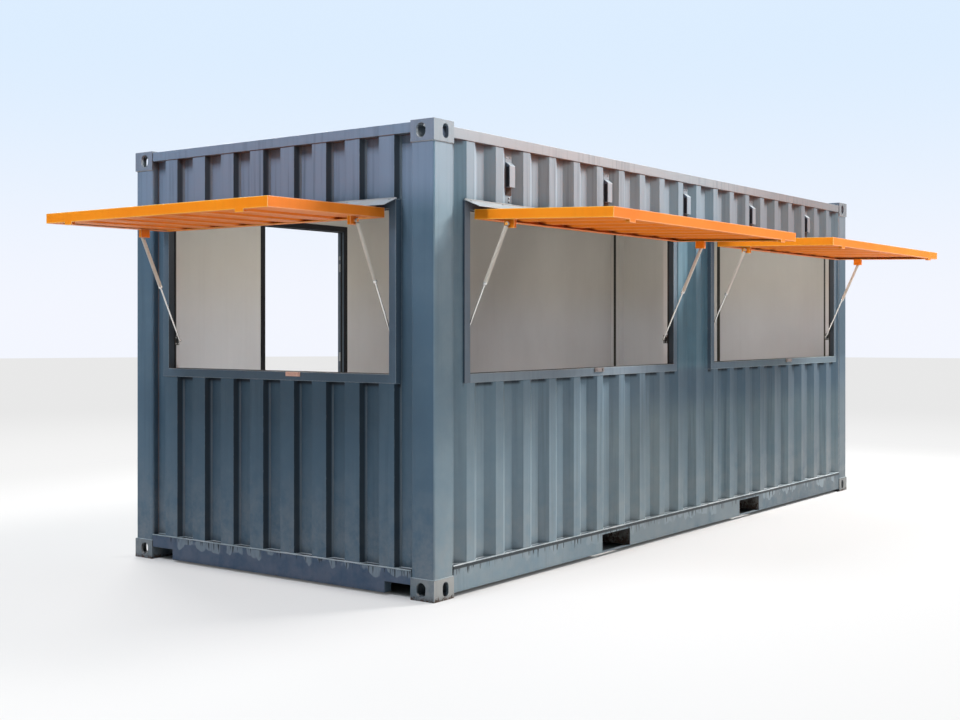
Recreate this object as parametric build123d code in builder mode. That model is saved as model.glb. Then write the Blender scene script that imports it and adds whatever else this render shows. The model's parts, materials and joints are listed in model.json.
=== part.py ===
from build123d import *
import os
from math import atan2, cos, hypot, radians, sin, tan

os.makedirs("parts", exist_ok=True)

# A twenty foot steel container turned into a cabin. Origin at the middle of its footprint on
# the ground, X along its length, Y across it, Z up. The front long side faces -Y and has two
# top hung hatches. The left end faces -X and has one. The doorway is in the back, on +Y.
# All sizes are in millimetres.

# Outer size of the container
length = 6058
width = 2438
height = 2591

# Corner castings
casting_length = 178
casting_width = 162
casting_height = 118
casting_plate = 28
casting_side = 16
aperture_from_end = 102.5
aperture_from_side = 89.5
foot_aperture_length = 124.5
foot_aperture_width = 63.5
side_aperture_height = 79.5
side_aperture_width = 51
end_aperture_width = 63.5

# Steel frame
frame_setback = 5
post_wall = 6
post_corner = 14
top_rail = 60
top_rail_below_top = 27
tube_wall = 4
header_height = 56
header_depth = 60
header_below_top = 9
rail_bottom = 25
rail_top = 172
rail_web = 4.5
rail_top_flange = 48
rail_bottom_flange = 30
sill_top = 156
sill_bottom = 14
sill_ends_bottom = 78
sill_deep_half = 870
sill_depth = 60
sill_web = 6

# Fork pockets, cross members and floor
pocket_width = 355
pocket_top = 141
pocket_spacing = 2050
pocket_middle = -70
pocket_plate = 3
cross_member_flange = 45
cross_member_web = 4
cross_member_count = 19
cross_member_end_gap = 60
floor_thickness = 28
floor_board_count = 5
floor_joint = 3

# Corrugated steel sheets, outer crest, slope, inner flat and slope along the wall
sheet = 2
side_setback = 7
side_crest = 72
side_slope = 68
side_trough = 70
side_depth = 36
side_first_crest = -2728
end_setback = 8
end_crest = 110
end_slope = 18
end_trough = 106
end_depth = 45.6
end_first_crest = -937
roof_crest = 91
roof_slope = 14
roof_trough = 90
roof_depth = 20
roof_first_crest = -2880.5
roof_drop = 2
roof_end_plate = 4

# Lining boards
lining = 38
boxing = 12
lining_joint = 10
ceiling_joint = 3
joint_strip_width = 30
joint_strip = 3
joint_strip_y = 5

# Hatch openings and their steel frames
hatch_frame_face = 50
hatch_frame_setback = 3
end_frame_setback = 4
hatch_plate = 4
hatch_sill_z = 1214
hatch_head_z = 2122
front_left_pier = 151.5
front_middle_pier = 639
front_right_pier = 121.5
end_pier = 155
front_left_droop = 2.0
front_right_droop = 1.4
end_droop = 0.3

# Hatch leaves: a ring of channel round a corrugated panel, hung from its top edge
hinge_out = 8
hinge_above_head = 4
leaf_reach = 900
leaf_gap = 13
leaf_depth = 56
leaf_beam = 50
leaf_plate = 4
leaf_hinge_gap = 12
knuckle_radius = 8
knuckle_length = 60
knuckle_gap = 1
hinge_pin_radius = 4
pin_clearance = 0.3
hinge_plate_height = 34
leaf_tab_width = 62
leaf_tab_height = 16
leaf_tab_depth = 26
leaf_tab_from_side = 170

# Gas struts
strut_upper_out = 228
strut_upper_down = 82
strut_lower_in = 75
strut_lower_down = 738
strut_from_jamb = 24
cylinder_radius = 11
cylinder_length = 360
cylinder_bore_start = 60
rod_radius = 5
rod_overlap = 60
eye_radius = 11
rod_eye_radius = 9
eye_width = 10
rod_eye_width = 13
neck_radius = 4.5
strut_pin_radius = 5
leaf_bracket_length = 67
leaf_bracket_height = 48
leaf_bracket_width = 22
pin_head_radius = 8
pin_head = 3
open_pivot_gap = 0.4
jamb_bracket_width = 36
jamb_bracket_height = 56
jamb_bracket_plate = 5
jamb_bracket_from_face = 44
boss_radius = 9
boss_length = 7

# Drip flashings, catch plates and wall vents
flashing_reach = 104
flashing_lip_above_hinge = 6
flashing_plate = 3
flashing_side_lap = 4
catch_width = 110
catch_height = 26
catch_depth = 9
catch_from_middle = 180
vent_width = 56
vent_height = 150
vent_depth = 30
vent_below_rail = 72
vent_hood = 24
vent_count = 5
vent_step_count = 4
vent_start_count = 1
vent_lip = 5

# Doorway in the back
door_middle = -1548
door_width = 820
door_head_z = 2190
door_face = 42
door_depth = 60
door_proud = 4
threshold = 20

# Places worked out from the sizes above
half_length = length / 2
half_width = width / 2
casting_x = half_length - casting_length
casting_y = half_width - casting_width
frame_x = half_length - frame_setback
frame_y = half_width - frame_setback
top_rail_z = height - top_rail_below_top
top_rail_inner_y = frame_y - top_rail
header_top = height - header_below_top
header_bottom = header_top - header_height
header_inner_x = frame_x - header_depth
sill_inner_x = frame_x - sill_depth
side_wall_y = half_width - side_setback
end_wall_x = half_length - end_setback
side_inner_y = side_wall_y - side_depth - sheet
end_inner_x = end_wall_x - end_depth - sheet
lined_y = side_inner_y - lining
lined_x = end_inner_x - lining
floor_bottom = rail_top - floor_thickness
floor_y = frame_y - rail_top_flange
wall_top = top_rail_z - top_rail
ceiling_bottom = wall_top
vent_bottom = wall_top - vent_below_rail - vent_height
front_hatch_width = casting_x - (front_left_pier + front_middle_pier + front_right_pier) / 2
front_left_middle = -casting_x + front_left_pier + front_hatch_width / 2
front_right_middle = casting_x - front_right_pier - front_hatch_width / 2
end_hatch_width = 2 * (casting_y - end_pier)
front_face_y = half_width - hatch_frame_setback
end_face_x = half_length - end_frame_setback
side_frame_depth = front_face_y - side_inner_y
end_frame_depth = end_face_x - end_inner_x
side_frame_proud = side_setback - hatch_frame_setback
end_frame_proud = end_setback - end_frame_setback
frame_outer_bottom = hatch_sill_z - hatch_frame_face
frame_outer_top = hatch_head_z + hatch_frame_face
hinge_z = hatch_head_z + hinge_above_head
side_pitch = side_crest + side_trough + 2 * side_slope
door_left = door_middle - door_width / 2 - door_face
door_right = door_middle + door_width / 2 + door_face
door_top = door_head_z + door_face
corners = [(i, j) for i in (-1, 1) for j in (-1, 1)]


def save(piece, name):
    """Label a finished piece and write it as its own file."""
    piece.part.label = name
    export_step(piece.part, f"parts/{name}.step")


def block(x, y, z, mode=Mode.ADD):
    """A box between two values on each axis, given in either order."""
    low = [min(pair) for pair in (x, y, z)]
    size = [abs(pair[1] - pair[0]) for pair in (x, y, z)]
    with Locations(tuple(low)):
        Box(*size, align=(Align.MIN, Align.MIN, Align.MIN), mode=mode)


def corrugation(start, end, crest, slope, trough, depth, first_crest):
    """Closed outline of a pressed sheet: along the wall, and outward from the outer crests."""
    pitch = crest + trough + 2 * slope
    shift = sheet * tan(atan2(depth, slope) / 2)
    first = int((start - first_crest) // pitch) - 1
    count = int((end - start) // pitch) + 4
    skins = []
    for inset, level in ((0, 0), (shift, -sheet)):
        corners_along = []
        for number in range(first, first + count):
            crest_start = first_crest + number * pitch
            corners_along += [
                (crest_start + inset, level),
                (crest_start + crest - inset, level),
                (crest_start + crest + slope - inset, level - depth),
                (crest_start + pitch - slope + inset, level - depth),
            ]
        skins.append(trimmed(corners_along, start, end))
    outer, inner = skins
    return outer + inner[::-1]


def trimmed(points, start, end):
    """The part of a line of points, rising along its first value, from start to end."""
    line = []
    for (s0, d0), (s1, d1) in zip(points, points[1:]):
        for edge in (start, end):
            if s0 < edge <= s1:
                line.append((edge, d0 + (d1 - d0) * (edge - s0) / (s1 - s0)))
        if start < s1 < end:
            line.append((s1, d1))
    return sorted(line)


def upright(points, bottom, top):
    """Raise a plan outline between two heights inside the part being built."""
    with BuildSketch(Plane.XY.offset(bottom)) as plan:
        with BuildLine():
            Polyline(*points, close=True)
        make_face()
    extrude(plan.sketch, amount=top - bottom)


def side_sheet(side, start, end, bottom, top):
    """Corrugated sheet of a long wall, side -1 for the front and 1 for the back."""
    outline = corrugation(
        start, end, side_crest, side_slope, side_trough, side_depth, side_first_crest
    )
    upright([(s, side * (side_wall_y + d)) for s, d in outline], bottom, top)


def end_sheet(side, start, end, bottom, top):
    """Corrugated sheet of an end wall, side -1 for the left and 1 for the right."""
    outline = corrugation(start, end, end_crest, end_slope, end_trough, end_depth, end_first_crest)
    upright([(side * (end_wall_x + d), s) for s, d in outline], bottom, top)


def cut_corners():
    """Take the four corners round the posts and castings out of a flat piece."""
    for i, j in corners:
        block(
            (i * casting_x, i * length),
            (j * casting_y, j * width),
            (0, height),
            mode=Mode.SUBTRACT,
        )


# Corner castings: hollow blocks with an oval hole in each outer face
def castings(bottom, plate_face):
    """Four castings whose lock holes open through the plate at plate_face."""
    with BuildPart() as four:
        for i, j in corners:
            block(
                (i * casting_x, i * half_length),
                (j * casting_y, j * half_width),
                (bottom, bottom + casting_height),
            )
            block(
                (i * (casting_x + casting_side), i * (half_length - casting_side)),
                (j * (casting_y + casting_side), j * (half_width - casting_side)),
                (bottom + casting_plate, bottom + casting_height - casting_plate),
                mode=Mode.SUBTRACT,
            )
            hole_x = i * (half_length - aperture_from_end)
            hole_y = j * (half_width - aperture_from_side)
            middle_z = bottom + casting_height / 2
            with BuildSketch(Plane.XY.offset(plate_face)):
                with Locations((hole_x, hole_y)):
                    SlotOverall(foot_aperture_length, foot_aperture_width)
            extrude(amount=middle_z - plate_face, mode=Mode.SUBTRACT)
            with BuildSketch(Plane.XZ.offset(-j * half_width)):
                with Locations((hole_x, middle_z)):
                    SlotOverall(side_aperture_height, side_aperture_width, rotation=90)
            extrude(amount=j * casting_width / 2, mode=Mode.SUBTRACT)
            with BuildSketch(Plane.YZ.offset(i * half_length)):
                with Locations((hole_y, middle_z)):
                    SlotOverall(side_aperture_height, end_aperture_width, rotation=90)
            extrude(amount=-i * casting_length / 2, mode=Mode.SUBTRACT)
    return four


save(castings(0, 0), "bottom_corner_castings")
save(castings(height - casting_height, height), "top_corner_castings")

# Corner posts: rolled steel boxes between the castings
with BuildPart() as corner_posts:
    post_length = frame_x - casting_x
    post_width = frame_y - casting_y
    with BuildSketch(Plane.XY.offset(casting_height)):
        for i, j in corners:
            with Locations((i * (casting_x + post_length / 2), j * (casting_y + post_width / 2))):
                RectangleRounded(post_length, post_width, post_corner)
                Rectangle(
                    post_length - 2 * post_wall,
                    post_width - 2 * post_wall,
                    mode=Mode.SUBTRACT,
                )
    extrude(amount=height - 2 * casting_height)
save(corner_posts, "corner_posts")

# Top side rails: square tubes between the top castings
with BuildPart() as top_side_rails:
    for j in (-1, 1):
        block(
            (-casting_x, casting_x),
            (j * top_rail_inner_y, j * frame_y),
            (wall_top, top_rail_z),
        )
        block(
            (-casting_x, casting_x),
            (j * (top_rail_inner_y + tube_wall), j * (frame_y - tube_wall)),
            (wall_top + tube_wall, top_rail_z - tube_wall),
            mode=Mode.SUBTRACT,
        )
save(top_side_rails, "top_side_rails")

# End headers: tubes across the top of both ends
with BuildPart() as end_headers:
    for i in (-1, 1):
        block(
            (i * header_inner_x, i * frame_x),
            (-casting_y, casting_y),
            (header_bottom, header_top),
        )
        block(
            (i * (header_inner_x + tube_wall), i * (frame_x - tube_wall)),
            (-casting_y, casting_y),
            (header_bottom + tube_wall, header_top - tube_wall),
            mode=Mode.SUBTRACT,
        )
save(end_headers, "end_headers")

# End sills: folded channels, deep in the middle and raised beside the castings
with BuildPart() as end_sills:
    for i in (-1, 1):
        for inset, inner_x, outer_x, mode in (
            (0, sill_inner_x, frame_x, Mode.ADD),
            (sill_web, sill_inner_x, frame_x - sill_web, Mode.SUBTRACT),
        ):
            deep = sill_deep_half - inset
            for half, bottom in ((deep, sill_bottom), (casting_y - inset, sill_ends_bottom)):
                block(
                    (i * inner_x, i * outer_x),
                    (-half, half),
                    (bottom + inset, sill_top - inset),
                    mode=mode,
                )
save(end_sills, "end_sills")

# Bottom side rails: pressed channels with a slot in the web at each fork pocket
pocket_centres = [pocket_middle + k * pocket_spacing / 2 for k in (-1, 1)]
with BuildPart() as bottom_side_rails:
    for j in (-1, 1):
        block((-casting_x, casting_x), (j * (frame_y - rail_web), j * frame_y), (rail_bottom, rail_top))
        block((-casting_x, casting_x), (j * floor_y, j * frame_y), (rail_top - rail_web, rail_top))
        block(
            (-casting_x, casting_x),
            (j * (frame_y - rail_bottom_flange), j * frame_y),
            (rail_bottom, rail_bottom + rail_web),
        )
        for centre in pocket_centres:
            block(
                (centre - pocket_width / 2, centre + pocket_width / 2),
                (j * floor_y, j * width),
                (rail_bottom + rail_web, pocket_top),
                mode=Mode.SUBTRACT,
            )
save(bottom_side_rails, "bottom_side_rails")

# Fork pockets: open bottomed tunnels between the two rails
with BuildPart() as fork_pockets:
    tunnel_y = frame_y - rail_web
    for centre in pocket_centres:
        outer = pocket_width / 2 + pocket_plate
        block((centre - outer, centre + outer), (-tunnel_y, tunnel_y), (rail_bottom + rail_web, floor_bottom))
        block(
            (centre - pocket_width / 2, centre + pocket_width / 2),
            (-tunnel_y, tunnel_y),
            (rail_bottom, pocket_top),
            mode=Mode.SUBTRACT,
        )
save(fork_pockets, "fork_pockets")

# Cross members: channels under the floor, left out where a fork pocket runs
with BuildPart() as cross_members:
    reach = casting_x - cross_member_end_gap
    member_bottom = rail_bottom + rail_web
    for number in range(cross_member_count):
        web_x = -reach + 2 * reach * number / (cross_member_count - 1)
        space = pocket_width / 2 + 2 * cross_member_flange
        if any(abs(web_x - centre) < space for centre in pocket_centres):
            continue
        block((web_x, web_x + cross_member_web), (-tunnel_y, tunnel_y), (member_bottom, floor_bottom))
        for z in (member_bottom, floor_bottom - cross_member_web):
            block((web_x, web_x + cross_member_flange), (-tunnel_y, tunnel_y), (z, z + cross_member_web))
save(cross_members, "cross_members")

# Floor: thick plywood boards between the rails, with a narrow joint between boards
with BuildPart() as floor_boards:
    board = (2 * sill_inner_x - (floor_board_count - 1) * floor_joint) / floor_board_count
    for number in range(floor_board_count):
        left = -sill_inner_x + number * (board + floor_joint)
        block((left, left + board), (-floor_y, floor_y), (floor_bottom, rail_top))
    cut_corners()
save(floor_boards, "floor_boards")

# Roof: a sheet pressed with shallow ribs across the cabin, and a flat plate at each end of it
# that closes the roof between the castings
with BuildPart() as roof_panel:
    roof_outline = corrugation(
        -casting_x, casting_x, roof_crest, roof_slope, roof_trough, roof_depth, roof_first_crest
    )
    roof_z = top_rail_z - roof_drop
    with BuildSketch(Plane.XZ.offset(-top_rail_inner_y)):
        with BuildLine():
            Polyline(*[(s, roof_z + d) for s, d in roof_outline], close=True)
        make_face()
    extrude(amount=2 * top_rail_inner_y)
save(roof_panel, "roof_panel")

with BuildPart() as roof_end_plates:
    for i in (-1, 1):
        block(
            (i * casting_x, i * header_inner_x),
            (-casting_y, casting_y),
            (roof_z - roof_end_plate, roof_z),
        )
save(roof_end_plates, "roof_end_plates")

# Front wall: sheets below and above the hatches, and three upright strips beside them
front_frames = [
    (middle - front_hatch_width / 2, middle + front_hatch_width / 2)
    for middle in (front_left_middle, front_right_middle)
]
with BuildPart() as front_wall_lower:
    side_sheet(-1, -casting_x, casting_x, rail_top, frame_outer_bottom)
save(front_wall_lower, "front_wall_lower")

with BuildPart() as front_wall_upper:
    side_sheet(-1, -casting_x, casting_x, frame_outer_top, wall_top)
save(front_wall_upper, "front_wall_upper")

front_edges = [-casting_x]
for left, right in front_frames:
    front_edges += [left - hatch_frame_face, right + hatch_frame_face]
front_edges.append(casting_x)
with BuildPart() as front_wall_piers:
    for start, end in zip(front_edges[::2], front_edges[1::2]):
        side_sheet(-1, start, end, frame_outer_bottom, frame_outer_top)
save(front_wall_piers, "front_wall_piers")

# Back wall: a sheet on each side of the doorway and one over it
with BuildPart() as back_wall:
    side_sheet(1, -casting_x, door_left, rail_top, wall_top)
    side_sheet(1, door_right, casting_x, rail_top, wall_top)
save(back_wall, "back_wall")

with BuildPart() as back_wall_over_door:
    side_sheet(1, door_left, door_right, door_top, wall_top)
save(back_wall_over_door, "back_wall_over_door")

# Left end wall round its hatch, and the plain right end wall
end_frame_half = end_hatch_width / 2 + hatch_frame_face
with BuildPart() as left_end_wall_lower:
    end_sheet(-1, -casting_y, casting_y, sill_top, frame_outer_bottom)
save(left_end_wall_lower, "left_end_wall_lower")

with BuildPart() as left_end_wall_upper:
    end_sheet(-1, -casting_y, casting_y, frame_outer_top, header_bottom)
save(left_end_wall_upper, "left_end_wall_upper")

with BuildPart() as left_end_wall_sides:
    end_sheet(-1, -casting_y, -end_frame_half, frame_outer_bottom, frame_outer_top)
    end_sheet(-1, end_frame_half, casting_y, frame_outer_bottom, frame_outer_top)
save(left_end_wall_sides, "left_end_wall_sides")

with BuildPart() as right_end_wall:
    end_sheet(1, -casting_y, casting_y, sill_top, header_bottom)
save(right_end_wall, "right_end_wall")

# Lining boards on battens inside every wall, cut flush with each opening
with BuildPart() as front_lining:
    front_boards_y = (-side_inner_y, -lined_y)
    block((-casting_x, casting_x), front_boards_y, (rail_top, hatch_sill_z))
    block((-casting_x, casting_x), front_boards_y, (hatch_head_z, ceiling_bottom))
save(front_lining, "front_lining")

lining_edges = [-casting_x, *front_frames[0], *front_frames[1], casting_x]
with BuildPart() as front_lining_piers:
    for start, end in zip(lining_edges[::2], lining_edges[1::2]):
        block((start, end), front_boards_y, (hatch_sill_z, hatch_head_z))
save(front_lining_piers, "front_lining_piers")

with BuildPart() as back_lining:
    back_boards_y = (lined_y, side_inner_y)
    block((-casting_x, door_left), back_boards_y, (rail_top, ceiling_bottom))
    block((door_right, casting_x), back_boards_y, (rail_top, ceiling_bottom))
save(back_lining, "back_lining")

with BuildPart() as back_lining_over_door:
    block((door_left, door_right), back_boards_y, (door_top, ceiling_bottom))
save(back_lining_over_door, "back_lining_over_door")

with BuildPart() as left_end_lining:
    left_boards_x = (-end_inner_x, -lined_x)
    block(left_boards_x, (-casting_y, casting_y), (rail_top, hatch_sill_z))
    block(left_boards_x, (-casting_y, casting_y), (hatch_head_z, ceiling_bottom))
save(left_end_lining, "left_end_lining")

with BuildPart() as left_end_lining_sides:
    for j in (-1, 1):
        block(left_boards_x, (j * end_hatch_width / 2, j * casting_y), (hatch_sill_z, hatch_head_z))
save(left_end_lining_sides, "left_end_lining_sides")

with BuildPart() as right_end_lining:
    right_boards_x = (lined_x, end_inner_x)
    joint_y = [joint_strip_y + k * lining_joint / 2 for k in (-1, 1)]
    block(right_boards_x, (-casting_y, joint_y[0]), (rail_top, ceiling_bottom))
    block(right_boards_x, (joint_y[1], casting_y), (rail_top, ceiling_bottom))
save(right_end_lining, "right_end_lining")

with BuildPart() as lining_joint_strip:
    strip_y = [joint_strip_y + k * joint_strip_width / 2 for k in (-1, 1)]
    block((lined_x - joint_strip, lined_x), strip_y, (rail_top, ceiling_bottom))
save(lining_joint_strip, "lining_joint_strip")

with BuildPart() as ceiling_lining:
    ceiling_top = roof_z - roof_depth - sheet
    block(
        (-casting_x, casting_x),
        (-top_rail_inner_y, top_rail_inner_y),
        (ceiling_bottom, ceiling_top),
    )
    for i in (-1, 1):
        block(
            (i * (casting_x + ceiling_joint), i * header_inner_x),
            (-casting_y, casting_y),
            (ceiling_bottom, ceiling_top),
        )
save(ceiling_lining, "ceiling_lining")

# Corner boxings: thin boards that cover the two inner faces of each post
with BuildPart() as corner_boxings:
    for i, j in corners:
        block(
            (i * (casting_x - boxing), i * casting_x),
            (j * (casting_y - boxing), j * lined_y),
            (rail_top, ceiling_bottom),
        )
        block(
            (i * (casting_x - boxing), i * lined_x),
            (j * (casting_y - boxing), j * casting_y),
            (rail_top, ceiling_bottom),
        )
save(corner_boxings, "corner_boxings")

# Door frame in the back wall: a folded steel surround on a low threshold
with BuildPart() as door_frame:
    door_y = (lined_y - door_proud, lined_y - door_proud + door_depth)
    block((door_left, door_right), door_y, (rail_top, door_top))
    block(
        (door_left + door_face, door_right - door_face),
        door_y,
        (rail_top + threshold, door_head_z),
        mode=Mode.SUBTRACT,
    )
    groove_y = (door_y[0] + hatch_plate, door_y[1] - hatch_plate)
    for side_x in ((door_left, door_left + door_face - hatch_plate),
                   (door_right - door_face + hatch_plate, door_right)):
        block(side_x, groove_y, (rail_top + threshold, door_top), mode=Mode.SUBTRACT)
    block((door_left, door_right), groove_y, (door_head_z + hatch_plate, door_top), mode=Mode.SUBTRACT)
save(door_frame, "door_frame")

# Vents: small hooded boxes in the hollows of both long walls, every fourth one
vent_centres = [
    side_first_crest + side_crest + side_slope + side_trough / 2
    + (vent_start_count + k * vent_step_count) * side_pitch
    for k in range(vent_count)
]
with BuildPart() as wall_vents:
    vent_back = side_wall_y - side_depth
    for j in (-1, 1):
        for centre in vent_centres:
            with BuildSketch(Plane.YZ.offset(centre - vent_width / 2)):
                with BuildLine():
                    Polyline(
                        (j * vent_back, vent_bottom),
                        (j * (vent_back + vent_depth), vent_bottom),
                        (j * (vent_back + vent_depth), vent_bottom + vent_height - vent_hood),
                        (j * vent_back, vent_bottom + vent_height),
                        close=True,
                    )
                make_face()
            extrude(amount=vent_width)
            block(
                (centre - vent_width / 2 + vent_lip, centre + vent_width / 2 - vent_lip),
                (j * (vent_back + vent_lip), j * (vent_back + vent_depth - vent_lip)),
                (vent_bottom, vent_bottom + vent_height / 2),
                mode=Mode.SUBTRACT,
            )
save(wall_vents, "wall_vents")

# The three hatches: name, hinge plane, clear width, droop, steel depth, crest phase, sheet form
side_form = (side_crest, side_slope, side_trough, side_depth)
end_form = (end_crest, end_slope, end_trough, end_depth)


def hinge_plane(middle, on_front):
    """Plane at the middle of a hinge line: X outward, Y up and Z along the hinge."""
    if on_front:
        return Plane(
            origin=(middle, -front_face_y - hinge_out, hinge_z), x_dir=(0, -1, 0), z_dir=(-1, 0, 0)
        )
    return Plane(origin=(-end_face_x - hinge_out, middle, hinge_z), x_dir=(-1, 0, 0), z_dir=(0, 1, 0))


hatches = [
    ("front_left_hatch", hinge_plane(front_left_middle, True), front_hatch_width,
     front_left_droop, side_frame_depth, side_form, side_first_crest - front_left_middle),
    ("front_right_hatch", hinge_plane(front_right_middle, True), front_hatch_width,
     front_right_droop, side_frame_depth, side_form, side_first_crest - front_right_middle),
    ("end_hatch", hinge_plane(0, False), end_hatch_width,
     end_droop, end_frame_depth, end_form, end_first_crest),
]


def leaf_plane(plane, droop):
    """The hinge plane turned down about the hinge by the droop of an open leaf."""
    angle = radians(droop)
    outward = plane.x_dir * cos(angle) - plane.y_dir * sin(angle)
    return Plane(origin=plane.origin, x_dir=outward, z_dir=plane.z_dir)


def hatch_frame(plane, clear, depth):
    """Steel surround of a hatch: front plate and two returns, open towards the lining."""
    face = -hinge_out
    head = -hinge_above_head
    sill = hatch_sill_z - hinge_z
    with BuildPart(plane) as surround:
        for grow, back, front, mode in (
            (hatch_frame_face, face - depth, face, Mode.ADD),
            (hatch_frame_face - hatch_plate, face - depth, face - hatch_plate, Mode.SUBTRACT),
            (hatch_plate, face - depth, face - hatch_plate, Mode.ADD),
            (0, face - depth, face, Mode.SUBTRACT),
        ):
            half = clear / 2 + grow
            block((back, front), (sill - grow, head + grow), (-half, half), mode=mode)
    return surround


def hinge_places(clear):
    """Three hinges spread along a hatch."""
    spread = clear / 2 - leaf_gap - 4 * leaf_beam
    return [-spread, 0, spread]


def leaf_ring(plane, clear, droop):
    """Channel ring of a leaf with its hinge knuckles, strut brackets and latch tabs."""
    half = clear / 2 - leaf_gap
    inner_half = half - leaf_beam
    top, bottom = 0, -leaf_depth
    near, far = leaf_hinge_gap, leaf_reach
    with BuildPart(leaf_plane(plane, droop)) as ring:
        block((near, far), (bottom, top), (-half, half))
        block(
            (near + leaf_plate, far - leaf_plate),
            (bottom + leaf_plate, top - leaf_plate),
            (-half + leaf_plate, half - leaf_plate),
            mode=Mode.SUBTRACT,
        )
        block(
            (near + leaf_beam, far - leaf_beam),
            (bottom, top),
            (-inner_half, inner_half),
            mode=Mode.SUBTRACT,
        )
        for place in hinge_places(clear):
            with Locations((0, 0, place)):
                Cylinder(knuckle_radius, knuckle_length)
            block(
                (0, near + leaf_beam / 2),
                (0, leaf_plate),
                (place - knuckle_length / 2, place + knuckle_length / 2),
            )
            with Locations((0, 0, place)):
                Cylinder(hinge_pin_radius + pin_clearance, knuckle_length, mode=Mode.SUBTRACT)
        strut_z = clear / 2 - strut_from_jamb
        for k in (-1, 1):
            block(
                (strut_upper_out - leaf_bracket_length / 2, strut_upper_out + leaf_bracket_length / 2),
                (bottom - leaf_bracket_height, bottom),
                (k * inner_half, k * (inner_half + leaf_bracket_width)),
            )
            pin_start = inner_half + leaf_bracket_width
            pin_end = strut_z + eye_width / 2 + pin_clearance
            with Locations((strut_upper_out, -strut_upper_down, k * pin_start)):
                toward_jamb = Align.MIN if k > 0 else Align.MAX
                Cylinder(
                    strut_pin_radius,
                    pin_end + pin_head - pin_start,
                    align=(Align.CENTER, Align.CENTER, toward_jamb),
                )
            with Locations((strut_upper_out, -strut_upper_down, k * (pin_end + pin_head / 2))):
                Cylinder(pin_head_radius, pin_head)
            tab_z = half - leaf_tab_from_side
            block(
                (far - leaf_tab_depth, far),
                (bottom - leaf_tab_height, bottom),
                (k * tab_z, k * (tab_z - leaf_tab_width)),
            )
    return ring


def leaf_panel(plane, clear, droop, form, first_crest):
    """Corrugated panel inside a leaf ring, its ribs running from the hinge outward."""
    leaf = leaf_plane(plane, droop)
    half = clear / 2 - leaf_gap - leaf_plate
    start = leaf.from_local_coords((leaf_hinge_gap + leaf_plate, 0, 0))
    profile = Plane(origin=start, x_dir=-leaf.z_dir, z_dir=leaf.x_dir)
    with BuildPart() as panel:
        with BuildSketch(profile):
            with BuildLine():
                Polyline(
                    *[(s, d - leaf_plate) for s, d in corrugation(-half, half, *form, first_crest)],
                    close=True,
                )
            make_face()
        extrude(amount=leaf_reach - leaf_hinge_gap - 2 * leaf_plate)
    return panel


def strut_ends(droop):
    """Upper and lower strut pins at rest, in the hinge plane."""
    angle = radians(-droop)
    upper = (
        strut_upper_out * cos(angle) + strut_upper_down * sin(angle),
        strut_upper_out * sin(angle) - strut_upper_down * cos(angle),
    )
    return upper, (-strut_lower_in, -strut_lower_down)


def strut_planes(plane, clear, start, finish):
    """Planes at both struts' start pins: Z along the strut and X along the hinge."""
    run = hypot(finish[0] - start[0], finish[1] - start[1])
    along = plane.x_dir * ((finish[0] - start[0]) / run) + plane.y_dir * ((finish[1] - start[1]) / run)
    strut_z = clear / 2 - strut_from_jamb
    return [
        Plane(origin=plane.from_local_coords((*start, k * strut_z)), x_dir=plane.z_dir, z_dir=along)
        for k in (-1, 1)
    ]


def cylinders(plane, clear, droop):
    """The two gas cylinders of a hatch, each on its leaf pin and bored for its rod."""
    upper, lower = strut_ends(droop)
    on_end = (Align.CENTER, Align.CENTER, Align.MIN)
    with BuildPart() as pair:
        for strut in strut_planes(plane, clear, upper, lower):
            with Locations(strut.location):
                Cylinder(eye_radius, eye_width, rotation=(0, 90, 0))
                Cylinder(neck_radius, eye_radius + eye_width, align=on_end)
                Cylinder(strut_pin_radius + pin_clearance, eye_width, rotation=(0, 90, 0), mode=Mode.SUBTRACT)
            with Locations(strut.offset(eye_radius + neck_radius / 2).location):
                Cylinder(cylinder_radius, cylinder_length - eye_radius - neck_radius / 2, align=on_end)
            with Locations(strut.offset(cylinder_bore_start).location):
                Cylinder(
                    rod_radius + pin_clearance,
                    cylinder_length - cylinder_bore_start,
                    align=on_end,
                    mode=Mode.SUBTRACT,
                )
    return pair


def rods(plane, clear, droop):
    """The two piston rods of a hatch, each with its eye beside the jamb bracket."""
    upper, lower = strut_ends(droop)
    run = hypot(upper[0] - lower[0], upper[1] - lower[1])
    with BuildPart() as pair:
        for strut in strut_planes(plane, clear, lower, upper):
            with Locations(strut.location):
                Cylinder(rod_eye_radius, rod_eye_width, rotation=(0, 90, 0))
                Cylinder(
                    rod_radius,
                    run - cylinder_length + rod_overlap,
                    align=(Align.CENTER, Align.CENTER, Align.MIN),
                )
    return pair


for name, plane, clear, droop, depth, form, first_crest in hatches:
    save(hatch_frame(plane, clear, depth), f"{name}_frame")
    save(leaf_ring(plane, clear, droop), f"{name}_leaf")
    save(leaf_panel(plane, clear, droop, form, first_crest), f"{name}_panel")
    save(cylinders(plane, clear, droop), f"{name}_cylinders")
    save(rods(plane, clear, droop), f"{name}_rods")

# Hinges: outer knuckles on the frame head, and the pin through the leaf's knuckle
with BuildPart() as hatch_hinges:
    for name, plane, clear, *rest in hatches:
        for place in hinge_places(clear):
            inner = knuckle_length / 2 + knuckle_gap
            outer = knuckle_length + knuckle_gap
            with Locations(plane.offset(place).location):
                Cylinder(hinge_pin_radius, 2 * outer)
                for k in (-1, 1):
                    with Locations((0, 0, k * (inner + outer) / 2)):
                        Cylinder(knuckle_radius, outer - inner)
                    block(
                        (-hinge_out, -hinge_out + leaf_plate),
                        (0, hinge_plate_height),
                        (k * inner, k * outer),
                    )
save(hatch_hinges, "hatch_hinges")

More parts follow.
